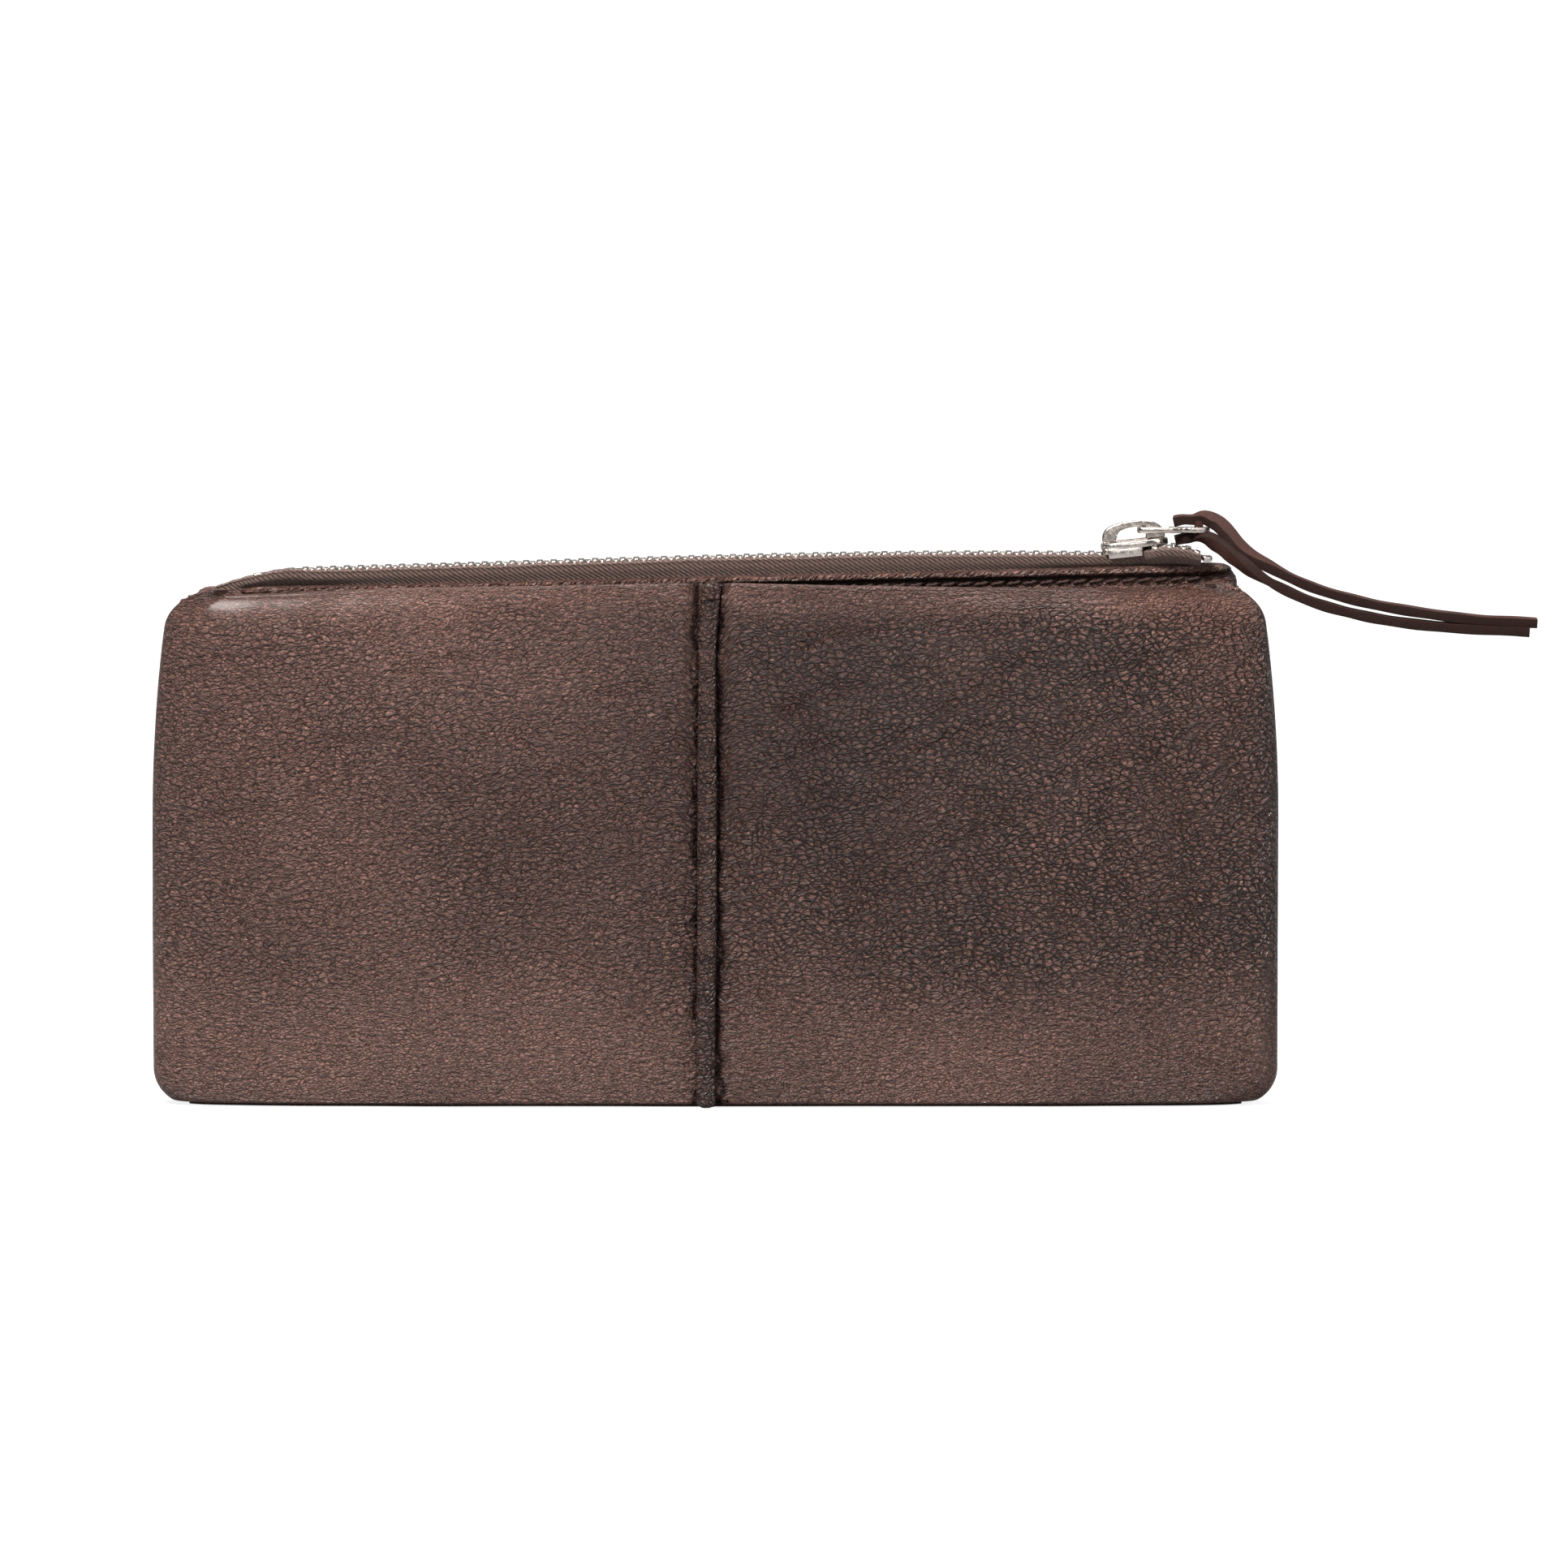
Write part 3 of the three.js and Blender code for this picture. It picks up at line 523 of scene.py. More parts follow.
# ---- Shape of the wrap -------------------------------------------------------------------------
def wrap_half_length(z):
    z = np.asarray(z, float)
    taper = TOP_TAPER * (np.maximum(0, z - TAPER_START) / (PANEL_TOP - TAPER_START)) ** 2
    cut = np.maximum(0, BASE_CORNER - z)
    return HALF_LENGTH - taper - (BASE_CORNER - np.sqrt(BASE_CORNER ** 2 - cut ** 2))


def wrap_edge(z):
    """Where the leather ends at height z: the top corners are rounded off."""
    cut = np.maximum(0, np.asarray(z, float) - (PANEL_TOP - TOP_CORNER))
    return wrap_half_length(z) - (TOP_CORNER - np.sqrt(TOP_CORNER ** 2 - np.minimum(cut, TOP_CORNER) ** 2))


def wrap_depth(z):
    z = np.asarray(z, float)
    below = BELLY_DEPTH - (BELLY_DEPTH - BASE_DEPTH) * ((BELLY_HEIGHT - z) / BELLY_HEIGHT) ** 2
    above = BELLY_DEPTH - (BELLY_DEPTH - TOP_DEPTH) * ((z - BELLY_HEIGHT) / (PANEL_TOP - BELLY_HEIGHT)) ** 2
    return np.where(z < BELLY_HEIGHT, below, above)


def lift(x, z):
    """The top edge rises towards the seam rib."""
    near = np.maximum(0, 1 - np.abs(x - RIB_X) / HALF_LENGTH)
    droop = LEFT_DROOP * step(-x, 50, 92)
    return z + (PANEL_PEAK * near ** 2 - droop) * (z / PANEL_TOP) ** 4


def plan_depth(x, half_length, depth):
    """How far a wall stands from the middle plane at x, on a squared-off oval plan."""
    inside = np.clip(1 - (np.abs(x) / half_length) ** PLAN_POWER, 0, 1)
    return depth * inside ** (1 / PLAN_POWER)


def even_columns(x0, half_length, depth, count):
    """Fractions from x0 to half_length that are evenly spaced along the plan curve."""
    fine = np.linspace(0, 1, 6001) ** 0.5
    x = x0 + (half_length - x0) * fine
    y = plan_depth(x, half_length, depth)
    run = np.concatenate([[0], np.cumsum(np.hypot(np.diff(x), np.diff(y)))])
    return np.interp(np.linspace(0, run[-1], count), run, fine)


def waves(x, z, length, seed, count=9):
    """Soft, random hills and dips about 1 high, with features about that long."""
    pick = random.Random(seed)
    total = np.zeros(np.broadcast(x, z).shape)
    for _ in range(count):
        turn = pick.uniform(0, math.pi)
        size = length * pick.uniform(0.7, 1.6)
        total += np.sin((x * math.cos(turn) + z * math.sin(turn)) * 2 * math.pi / size + pick.uniform(0, 7))
    return total / math.sqrt(count)


def crease(x, z, start, end, width):
    """A ridge of height 1 from start to end, fading at both ends."""
    (x0, z0), (x1, z1) = start, end
    run = math.hypot(x1 - x0, z1 - z0)
    ux, uz = (x1 - x0) / run, (z1 - z0) / run
    along = ((x - x0) * ux + (z - z0) * uz) / run
    off = (x - x0) * uz - (z - z0) * ux + 0.06 * run * np.sin(along * 3.3)
    ends = np.clip(along, 0, 1)
    return np.exp(-((off / width) ** 2)) * np.sin(math.pi * ends) ** 0.7


def row_heights(bottom, top, pitch, fine=0.16, band=1.3):
    """Heights from bottom to top, closer together near both edges."""
    edge = np.arange(0, band, fine)
    middle = np.arange(bottom + band, top - band, pitch)
    return np.concatenate([bottom + edge, middle, np.sort(top - edge)])


def rounded(z, bottom, top, thickness):
    """Half the sheet's thickness at height z, rounded off at the top and bottom edges."""
    radius = thickness / 2
    reach = np.clip(np.minimum(z - bottom, top - z) / radius, 0, 1)
    return radius * np.sqrt(np.clip(1 - (1 - reach) ** 2, 0.004, 1))


def offset_sheet(name, outer, thickness, half, outward, material, **attributes):
    """A sheet whose full-thickness face is the grid outer; half is its local half-thickness."""
    normal = grid_normals(outer)
    if np.mean(np.sum(normal * outward, axis=2)) < 0:
        normal = -normal
    middle = outer - normal * (thickness / 2)
    return thick_sheet(name, middle, half, np.mean(outward.reshape(-1, 3), axis=0), material, **attributes)


# ---- Wrap: pebbled leather walls ---------------------------------------------------------------
FOLD_HEIGHT = 0.3         # the leather folds under just above the floor
SEAM_CLEAR = 0.9          # the walls' cut edges lie under the seam rib, this far from its middle
RIM = 4.3                 # smooth turned band along the top edge
CREASE_SETS = {
    "front_right": [((6, 66), (30, 76), 0.9), ((22, 58), (52, 74), 1.0), ((40, 70), (70, 84), 0.9),
                    ((12, 80), (34, 86), 0.7), ((48, 50), (84, 66), 1.1), ((62, 74), (88, 82), 0.8),
                    ((30, 40), (58, 52), 1.1), ((70, 40), (94, 56), 0.9), ((4, 44), (20, 56), 0.9),
                    ((58, 62), (80, 72), 0.8), ((84, 13), (97, 8), 0.8), ((84, 9), (95, 5.5), 0.7),
                    ((8, 58), (26, 66), 0.7), ((34, 62), (50, 68), 0.7), ((76, 60), (96, 74), 1.0),
                    ((20, 46), (36, 58), 0.8)],
    "front_left": [((-96, 78), (-70, 82), 0.9), ((-80, 62), (-52, 66), 0.9), ((-60, 76), (-30, 80), 0.8),
                   ((-50, 54), (-22, 60), 0.9), ((-36, 68), (-8, 74), 0.8), ((-96, 50), (-74, 54), 0.9),
                   ((-28, 40), (-6, 46), 0.8), ((-97, 12), (-84, 8), 0.8)],
    "back_right": [((10, 60), (40, 68), 1.0), ((50, 70), (88, 76), 1.0), ((60, 30), (94, 36), 1.0)],
    "back_left": [((-80, 70), (-40, 76), 1.0), ((-90, 44), (-60, 50), 1.0), ((-40, 50), (-10, 60), 0.9)],
}


def wall_marks(x, z, top, key, seed):
    """Relief on a wall (outward, in mm) and its grain, tone and groove attributes."""
    seam = np.abs(x - RIB_X)
    relief = 0.24 * waves(x, z, 46, seed) + 0.07 * waves(x, z * 1.6, 13, seed + 1)
    relief -= 0.7 * np.exp(-((seam / 1.9) ** 2)) + 0.25 * np.exp(-seam / 5.0)
    tug = 2 * math.pi * z / 2.75 + 1.2 * waves(0 * x, z, 17, seed + 2)
    relief += 0.15 * np.sin(tug) * np.exp(-(((seam - 2.4) / 1.6) ** 2))
    relief += 0.05 * np.sin(tug * 0.5 + 1) * np.exp(-(((seam - 5.0) / 3.0) ** 2))
    folds = sum(crease(x, z, a, b, w) for a, b, w in CREASE_SETS[key])
    relief -= 0.28 * folds * (0.6 + 0.4 * waves(x, z, 9, seed + 3) / 2)
    below = top - z
    rim = step(below + 1.2 * waves(x, z, 21, seed + 4), RIM + 3.0, RIM - 2.0)
    relief -= 1.5 * step(below, 13, 0) ** 2 * step(seam, 22, 62) + 0.5 * step(below, 5, 0) ** 2
    grain = np.clip(0.42 + 0.5 * step(x, -30, 25) + 0.12 * waves(x, z, 40, seed + 5), 0.15, 1.0)
    grain = grain * (0.16 + 0.84 * step(z, 10, 30)) * (1 - 0.85 * rim)
    if key.startswith("back"):
        grain = grain * 0.75
    # groove: painted shade in the ragged dip beside the rib, in the puckers next to it and along the fold at
    # the foot.
    ragged = 1.9 + 0.35 * waves(0 * x, z, 5, seed + 7) + 0.25 * waves(0 * x, z, 16, seed + 8)
    groove = np.exp(-(((seam - ragged) / 0.62) ** 2)) * step(seam, 0, 1.2)
    groove = groove + 0.2 * np.exp(-(((seam - 2.9) / 1.5) ** 2)) * (0.5 + 0.5 * np.sin(tug))
    groove = groove + 0.3 * step(z, FOLD_HEIGHT + 0.7, FOLD_HEIGHT)
    # Tone: random patches, painted shade along the folds, a rim band lighter from edge wear and painted
    # highlight, and lighter towards the bottom.
    tone = 0.18 * waves(x, z, 55, seed + 6) - 0.35 * folds + 0.1 * rim + 0.12 * step(z, 34, 10)
    # Painted shade over the sunken area right of the rib and across the belly; a painted highlight on the
    # right top corner.
    tone = tone - 1.05 * hump(x, 22, 38) * hump(z, 78, 30) - 0.4 * hump(x, 10, 45) * hump(z, 55, 30)
    tone = tone - 0.3 * hump(z, 50, 34) + 1.1 * step(x, 45, 80) * hump(z, 88.5, 3.5)
    return relief, grain, tone, np.clip(groove, 0, 1)


def make_wall(name, side, end, seed, pitch):
    """One quarter of the wrap's walls. side is -1 for the front, end is -1 for the left."""
    x0 = RIB_X + end * SEAM_CLEAR
    count = int(118 / pitch)
    shares = even_columns(abs(x0), HALF_LENGTH, BELLY_DEPTH, count)
    rows = row_heights(FOLD_HEIGHT, PANEL_TOP, pitch)
    z = np.repeat(rows[:, None], count, 1)
    reach = wrap_edge(z)
    x = end * (end * x0 + (reach - end * x0) * shares[None, :])
    depth = wrap_depth(z)
    tuck = np.maximum(0, FOLD_RADIUS - (z - FOLD_HEIGHT))
    depth = depth - (FOLD_RADIUS - np.sqrt(FOLD_RADIUS ** 2 - np.minimum(tuck, FOLD_RADIUS * 0.97) ** 2))
    y = np.maximum(plan_depth(x, wrap_half_length(z), depth), SEAM_EDGE)
    outer = np.stack([x, side * y, lift(x, z)], 2)
    outward = np.stack([0.3 * x / HALF_LENGTH, side + 0 * x, 0 * x], 2)
    relief, grain, tone, groove = wall_marks(x, z, PANEL_TOP, name_key(side, end), seed)
    near_seam = step((reach - np.abs(x)), 0.0, 6.0)
    normal = grid_normals(outer)
    if np.mean(np.sum(normal * outward, axis=2)) < 0:
        normal = -normal
    outer = outer + normal * (relief * (0.12 + 0.88 * near_seam))[..., None]
    outer[..., 1] = side * np.maximum(side * outer[..., 1], SEAM_EDGE)
    outer[..., 2] = lift(x, z)
    half = rounded(z, FOLD_HEIGHT, PANEL_TOP, LEATHER)
    # Painted shade along the side edges, where the surface turns away.
    tone = tone - 0.5 * (1 - step(reach - np.abs(x), 0.0, 3.5))
    made = offset_sheet(name, outer, LEATHER, half, outward, leather,
                        grain=grain, tone=tone, groove=groove)
    shift_uv(made, end, side)
    return made


def name_key(side, end):
    return ("front_" if side < 0 else "back_") + ("left" if end < 0 else "right")


def shift_uv(made, end, side):
    """Each wall gets its own part of the endless grain, in its own direction."""
    layer = made.data.uv_layers[0].data
    uv = np.empty(len(layer) * 2, np.float32)
    layer.foreach_get("uv", uv)
    uv = uv.reshape(-1, 2)
    uv[:, 0] = end * uv[:, 0] + (130.0 if side > 0 else 0.0)
    layer.foreach_set("uv", uv.ravel())


WALL_PITCH = 0.62
RIM_END = 0.1             # at the side seam, in metres from the middle


def bend(made, body, x_start=RIM_END, x_end=0.0):
    """The piece's placement is baked into its mesh."""
    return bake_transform(made)


wall_seed = 11
for side, word, body in ((-1, "front", "front_pocket"), (1, "back", "back_half")):
    for end, hand in ((-1, "left"), (1, "right")):
        wall = make_wall(f"wrap_{word}_{hand}", side, end, wall_seed, WALL_PITCH)
        settle_bent(wall, "outer_leather", body, f"{word}_panel_{hand}")
        wall_seed += 20


# ---- Wrap: the raised seam rib -----------------------------------------------------------------
def wall_surface(z, side):
    """The wrap's outer surface beside the rib, without the dip."""
    return side * plan_depth(RIB_X, wrap_half_length(z), wrap_depth(z))


def rib_centre(z):
    """The seam wanders a little: it leans to the right at the top and swings back lower down."""
    return RIB_X - 0.15 + 0.8 * step(z, 80, 95) - 0.25 * step(z, 40, 10)


def dome(half_width, height, sunk, count=18):
    """A rounded bead's section: across first, then outward."""
    arc = np.linspace(0, math.pi, count)
    top = np.stack([half_width * np.cos(arc), height * np.sin(arc) ** 0.8], 1)
    foot = [[-half_width * 0.85, -sunk], [half_width * 0.85, -sunk]]
    return np.concatenate([top, foot])


def loft(name, rings, material):
    """A closed solid through the rings of points. UVs run round, then along, in millimetres."""
    rings = np.asarray(rings, float)
    count, around = rings.shape[:2]
    made = new_object(name, rings.reshape(-1, 3), ring_faces(count, around), material)
    face_out(made)
    girth = np.concatenate([[0], np.cumsum(np.linalg.norm(np.diff(rings[count // 2], axis=0), axis=1))])
    run = np.concatenate([[0], np.cumsum(np.linalg.norm(np.diff(rings.mean(1), axis=0), axis=1))])
    set_uv(made, np.stack([np.tile(girth, count), np.repeat(run, around)], 1))
    return made


def make_rib(name, side):
    heights = np.arange(0.12, high("centre_rib_front")[2] - 0.35, 0.3)
    top = heights[-1]
    rings = []
    for z in heights:
        swell = 1 + 0.06 * math.sin(z * 2.3) + 0.06 * math.sin(z * 0.71 + 2) + 0.05 * math.sin(z * 4.1 + 1)
        close = math.sqrt(max(0.03, 1 - max(0, (z - top + 1.5) / 1.5, (1.3 - z) / 1.3) ** 2))
        width = (RIB_HALF_WIDTH - 0.2 * float(hump(z, 78, 12))) * close * (0.98 + 0.02 * swell)
        section = dome(width, RIB_PROUD * close * swell, 1.5)
        y = float(wall_surface(min(z, PANEL_TOP), side))
        x = float(rib_centre(z))
        rings.append([[x + a, y + side * b, z] for a, b in section])
    made = smooth(loft(name, rings, rib_leather), 50)
    around = len(rings[0])
    place = np.tile(np.linspace(0, 1, around), len(rings))
    z = np.repeat(heights, around)
    # The groove attribute is painted shade along the bead's edges; the tone is lighter along its crown.
    edge = np.maximum(1 - np.minimum(place, np.abs(0.9 - place)) / 0.12, 0)
    tone = 0.5 * waves(place * 3, z, 4, 31) - 0.5 + 0.3 * hump(place, 0.45, 0.15)
    store(made, grain=0.7 + 0.2 * np.sin(z), tone=tone, groove=np.clip(edge, 0, 0.9))
    return made


for side, word, body in ((-1, "front", "front_pocket"), (1, "back", "back_half")):
    rib = make_rib(f"seam_rib_{word}", side)
    settle(rib, body, f"centre_rib_{word}")


# ---- Wrap: the base it stands on ---------------------------------------------------------------
BASE_HALF = LEATHER / 2
BASE_MIDDLE = 0.77


def make_base(name, end):
    """The wrap's flat part under the pouch. end is -1 for the left."""
    length = high("base_panel_right")[0] if end > 0 else -low("base_panel_left")[0]
    depth = high("base_panel_right")[1] - BASE_HALF
    x0 = RIB_X + end * 1.0
    x = end * (end * x0 + (length - end * x0) * even_columns(abs(x0), length, depth, 110))
    near_side = -1 + 0.1 * (1 - np.cos(np.linspace(0, math.pi / 2, 7)))
    across = np.concatenate([near_side, np.linspace(-0.88, 0.88, 26)])
    across = np.unique(np.round(np.concatenate([across, -across]), 5))
    reach = np.maximum(plan_depth(x, length + 0.6, depth), 0.4)
    grid = np.stack([np.broadcast_to(x, (len(across), len(x))), across[:, None] * reach[None, :],
                     np.full((len(across), len(x)), BASE_MIDDLE)], 2)
    inset = (1 - np.abs(across))[:, None] * reach[None, :]
    half = BASE_HALF * np.sqrt(np.clip(1 - (1 - np.clip(inset / BASE_HALF, 0, 1)) ** 2, 0.02, 1))
    grid[..., 2] += 0.02 * waves(grid[..., 0], grid[..., 1], 20, 5)
    seam = np.abs(grid[..., 0] - RIB_X)
    # The groove attribute is painted shade in the seam groove beside the rib.
    made = thick_sheet(name, grid, half, (0, 0, -1), leather,
                       grain=0.3 + 0 * seam, tone=-0.2 + 0.1 * waves(grid[..., 0], grid[..., 1], 30, 6),
                       groove=0.8 * np.exp(-(((seam - 1.4) / 0.8) ** 2)))
    shift_uv(made, end, 1)
    return made


for end, hand in ((-1, "left"), (1, "right")):
    base = make_base(f"wrap_base_{hand}", end)
    settle(base, "pouch", f"base_panel_{hand}")

RIB_BASE_HALF_WIDTH = 1.62
rib_rings = []
for y in np.linspace(low("centre_rib_base")[1], high("centre_rib_base")[1], 60):
    swell = 1 + 0.05 * math.sin(y * 2.1)
    rib_rings.append([[RIB_X + a * swell, y, 0.72 - 0.68 * min(b, 1.0) * swell if b > 0 else 1.35]
                      for a, b in dome(RIB_BASE_HALF_WIDTH, 1.0, 1.0)])
rib_base = smooth(loft("seam_rib_base", rib_rings, rib_leather), 50)
count = len(rib_base.data.vertices)
store(rib_base, grain=np.full(count, 0.25), tone=np.full(count, -0.1), groove=np.zeros(count))
settle(rib_base, "pouch", "centre_rib_base")


# ---- Slip pockets: the interlining and the cloth inside the walls --------------------------------
def make_layer(name, side, end, inset, thickness, bottom, top, reach_in, material):
    """A layer that lines the wall, inset from the wall's outer face."""
    count = 90
    rows = row_heights(bottom, top, 1.6, 0.12, 0.4)
    z = np.repeat(rows[:, None], count, 1)
    half_length = np.minimum(wrap_half_length(z), wrap_edge(z) + 0.4) - inset
    half_length = np.minimum(half_length, HALF_LENGTH - reach_in)
    shares = even_columns(0.0, HALF_LENGTH - inset, BELLY_DEPTH - inset, count)
    x = end * half_length * shares[None, :] + RIB_X * (1 - shares[None, :])
    y = np.maximum(plan_depth(x, half_length, wrap_depth(z) - inset), SEAM_EDGE + thickness / 2)
    grid = np.stack([x, side * y, lift(x, z)], 2)
    return thick_sheet(name, grid, rounded(z, bottom, top, thickness), (0, side, 0), material)


LAYERS = (("interlining", 1.75, 0.5, 4.0, 86.0, 1.7, board, "stiffener_board", "stiffener"),
          ("pocket_cloth", 2.45, 0.4, 4.0, 86.2, 2.5, cloth, "lining_cloth", "pocket_lining"))
for side, word, body in ((-1, "front", "front_pocket"), (1, "back", "back_half")):
    for title, inset, thick, bottom, top, reach_in, stuff, finish_slot, cad in LAYERS:
        for end, hand in ((-1, "left"), (1, "right")):
            layer = make_layer(f"{title}_{word}_{hand}", side, end, inset, thick, bottom, top,
                               reach_in, stuff)
            settle_bent(layer, finish_slot, body, f"{word}_{cad}", RIM_END, RIB_X * MM)


# ---- Inner pouch: walls with a rolled, topstitched edge ------------------------------------------
POUCH_SIDE = 0.05         # the front and back walls meet this far from the middle plane
ROLL_RADIUS = 0.52
ROLL_SHIFT = 0.35


def pouch_top(x):
    return POUCH_TOP + POUCH_SLOPE * np.asarray(x, float)


def pouch_depth(z):
    """Outer face of the pouch's wall, from the middle plane."""
    below = POUCH_DEPTH - 1.8 * ((POUCH_FULLEST - z) / 35.4) ** 2
    above = POUCH_DEPTH - 1.5 * ((z - POUCH_FULLEST) / 54.35) ** 2
    return np.where(z < POUCH_FULLEST, below, above)


def pouch_reach(z, top):
    """Half the pouch's length at height z, with small rounded corners."""
    corner = np.where(top < pouch_top(POUCH_X), POUCH_LEFT_CORNER, POUCH_CORNER)
    cut = np.clip(np.maximum(z - (top - corner), POUCH_BOTTOM + corner - z), 0, corner)
    return POUCH_HALF_LENGTH - (corner - np.sqrt(corner ** 2 - cut ** 2))


def roll_profile(below):
    """How far the wall's outer and inner faces stand from its middle, below its top edge."""
    half = POUCH_LEATHER / 2
    reach = np.clip(np.abs(below - ROLL_RADIUS) / ROLL_RADIUS, 0, 1)
    bead = ROLL_RADIUS * np.sqrt(1 - reach ** 2)
    face = half - 0.85 * step(below, 2.25, 1.85) - 0.15 * hump(below, 2.5, 0.3)
    outer = np.where(below < 2 * ROLL_RADIUS, np.maximum(ROLL_SHIFT + bead, face), face)
    outer = np.where(below < ROLL_RADIUS, ROLL_SHIFT + bead, outer)
    inner = np.where(below < ROLL_RADIUS, np.maximum(-half, ROLL_SHIFT - bead), -half)
    return outer, inner


def make_pouch_wall(name, side, x_from, x_to, seed):
    pitch = 0.55
    count = max(3, int(abs(x_to - x_from) / pitch))
    share = np.linspace(0, 1, count)
    ends = 0.5 - 0.5 * np.cos(share * math.pi)
    whole = abs(x_to - x_from) > 150
    share = 0.35 * ends + 0.65 * share if whole else share
    below = np.concatenate([ROLL_RADIUS * (1 - np.cos(np.linspace(0, math.pi, 17))), np.arange(1.14, 6, 0.13),
                            np.arange(6.2, 86.5, 3.2), POUCH_WALL_RUN - np.linspace(0.9, 0, 4)])
    below = below[:, None]
    x_line = x_from + (x_to - x_from) * share[None, :]
    top = pouch_top(x_line)
    z = top - below * (top - POUCH_BOTTOM) / POUCH_WALL_RUN
    reach = pouch_reach(z, top)
    local = (x_line - POUCH_X) / POUCH_HALF_LENGTH * reach
    x = POUCH_X + local
    y = np.maximum(plan_depth(local, reach, pouch_depth(z)), POUCH_SIDE + 0.5) - 0.5
    outer, inner = roll_profile(below)
    outer, inner = np.broadcast_to(outer, z.shape).copy(), np.broadcast_to(inner, z.shape)
    along = 2 * math.pi * x_line / STITCH_PITCH
    pull = 0.5 + 0.5 * np.cos(along)
    line = hump(below, STITCH_BELOW_EDGE + 0.25, 0.5)
    outer = outer - 0.26 * line * pull - 0.1 * hump(below, 3.4, 0.6)
    outer = outer + 0.05 * hump(below, 0.9, 0.8) * np.cos(along + 0.8) + 0.05 * waves(x_line, below, 14, seed)
    edge = step(np.abs(local), reach, reach - 3.0)
    middle = y + 0.5 * (outer + inner) * edge
    grid = np.stack([x, side * middle, z], 2)
    bottom_round = rounded(z, POUCH_BOTTOM - 0.01, top + 5, 1.0) / 0.5
    half = 0.5 * (outer - inner) * np.minimum(bottom_round, 1) * (0.45 + 0.55 * edge)
    half = np.maximum(half, 0.02)
    # groove: painted shade in the gap under the rolled edge, widest right of the middle, and in the stitch
    # holes.
    shade = hump(x_line, 35, 45)
    groove = step(below, 0.85, 1.1) * step(below, 2.3 + 0.9 * shade, 1.9 + 0.7 * shade) * (0.6 + 0.4 * shade)
    groove = groove + 0.4 * line * pull
    # Tone: random patches, a painted highlight on the rolled edge, and a painted highlight on the facing
    # strip below the stitches on the right.
    tone = 0.25 * waves(x_line, below, 18, seed + 1) + 0.35 * hump(below, 0.5, 0.5)
    tone = tone + 0.5 * hump(below, 3.6, 1.0) * step(x_line, 20, 60)
    made = thick_sheet(name, grid, half, (0, side, 0), leather,
                       grain=0.22 + 0 * z, tone=tone, groove=np.clip(groove, 0, 1))
    shift_uv(made, 1, side)
    return made


POUCH_LEFT, POUCH_RIGHT = POUCH_X - POUCH_HALF_LENGTH, POUCH_X + POUCH_HALF_LENGTH
MOUTH_END = 0.084         # a distance from the middle, in metres
front_wall = make_pouch_wall("pouch_front", -1, POUCH_LEFT, POUCH_RIGHT, 301)
settle(front_wall, "pouch", "pouch_wall_front")
for end, x_to in ((-1, POUCH_LEFT), (1, POUCH_RIGHT)):
    hand = "left" if end < 0 else "right"
    back_wall = make_pouch_wall(f"pouch_back_{hand}", 1, *sorted((0.0, x_to)), 331)
    settle_bent(back_wall, "outer_leather", "back_half", "pouch_wall_back", MOUTH_END)


LINING_BOTTOM, LINING_TOP = 5.6, 90.5


def make_pouch_lining(name, side, x_from, x_to):
    count = int(abs(x_to - x_from) / 1.6)
    x_line = np.linspace(x_from, x_to, count)[None, :]
    rows = row_heights(LINING_BOTTOM, LINING_TOP, 2.2, 0.12, 0.4)
    z = np.repeat(rows[:, None], count, 1)
    local = (x_line - POUCH_X) * (POUCH_HALF_LENGTH - 1.4) / POUCH_HALF_LENGTH
    reach = pouch_reach(z, pouch_top(x_line)) - 1.3
    local = np.clip(local, -reach, reach)
    y = np.maximum(plan_depth(local, reach, pouch_depth(z) - 1.25), 0.3)
    y = y - 0.12 * np.abs(waves(x_line, z, 22, 77)) * step(z, 92, 70)
    grid = np.stack([POUCH_X + local, side * np.maximum(y, 0.3), z], 2)
    return thick_sheet(name, grid, rounded(z, LINING_BOTTOM, LINING_TOP, 0.36), (0, side, 0), cloth)


lining = make_pouch_lining("pouch_cloth_front", -1, POUCH_LEFT, POUCH_RIGHT)
settle(lining, "pouch", "pouch_lining_front")
for end, x_to in ((-1, POUCH_LEFT), (1, POUCH_RIGHT)):
    lining = make_pouch_lining(f"pouch_cloth_back_{'left' if end < 0 else 'right'}", 1, *sorted((0.0, x_to)))
    settle_bent(lining, "lining_cloth", "back_half", "pouch_lining_back", MOUTH_END)

CLOTH_FLOOR_X, CLOTH_FLOOR_Y, CLOTH_FLOOR_Z = 84, 3.2, 3.7
floor_x = np.linspace(-CLOTH_FLOOR_X, CLOTH_FLOOR_X, 90)
floor_y = np.linspace(-CLOTH_FLOOR_Y, CLOTH_FLOOR_Y, 9)
floor_grid = np.stack([*np.meshgrid(floor_x, floor_y), np.full((9, 90), CLOTH_FLOOR_Z)], 2)
lining_floor = thick_sheet("pouch_cloth_floor", floor_grid, np.full((9, 90), 0.36), (0, 0, 1), cloth)
settle(lining_floor, "pouch", "pouch_lining_bottom")


# ---- Zip: chain, tapes and teeth -----------------------------------------------------------------
CHAIN_LEFT_BEND, CHAIN_RIGHT_BEND = -72, 80
CHAIN_MID_HEIGHT = 97.3


def chain_height(x):
    """Height of the chain's middle: it sags to the left and turns down at both ends."""
    x = np.asarray(x, float)
    left = np.where(x < CHAIN_LEFT_BEND, 3.5 * ((CHAIN_LEFT_BEND - x) / 18) ** 2, 0)
    right = np.where(x > CHAIN_RIGHT_BEND, ((x - CHAIN_RIGHT_BEND) / 8) ** 2, 0)
    sag = 1.0 * step(x, 50, -55)
    return CHAIN_MID_HEIGHT + 0.012 * x - 0.00014 * x ** 2 - left - right - sag + 1.5 * hump(x, 81, 7)


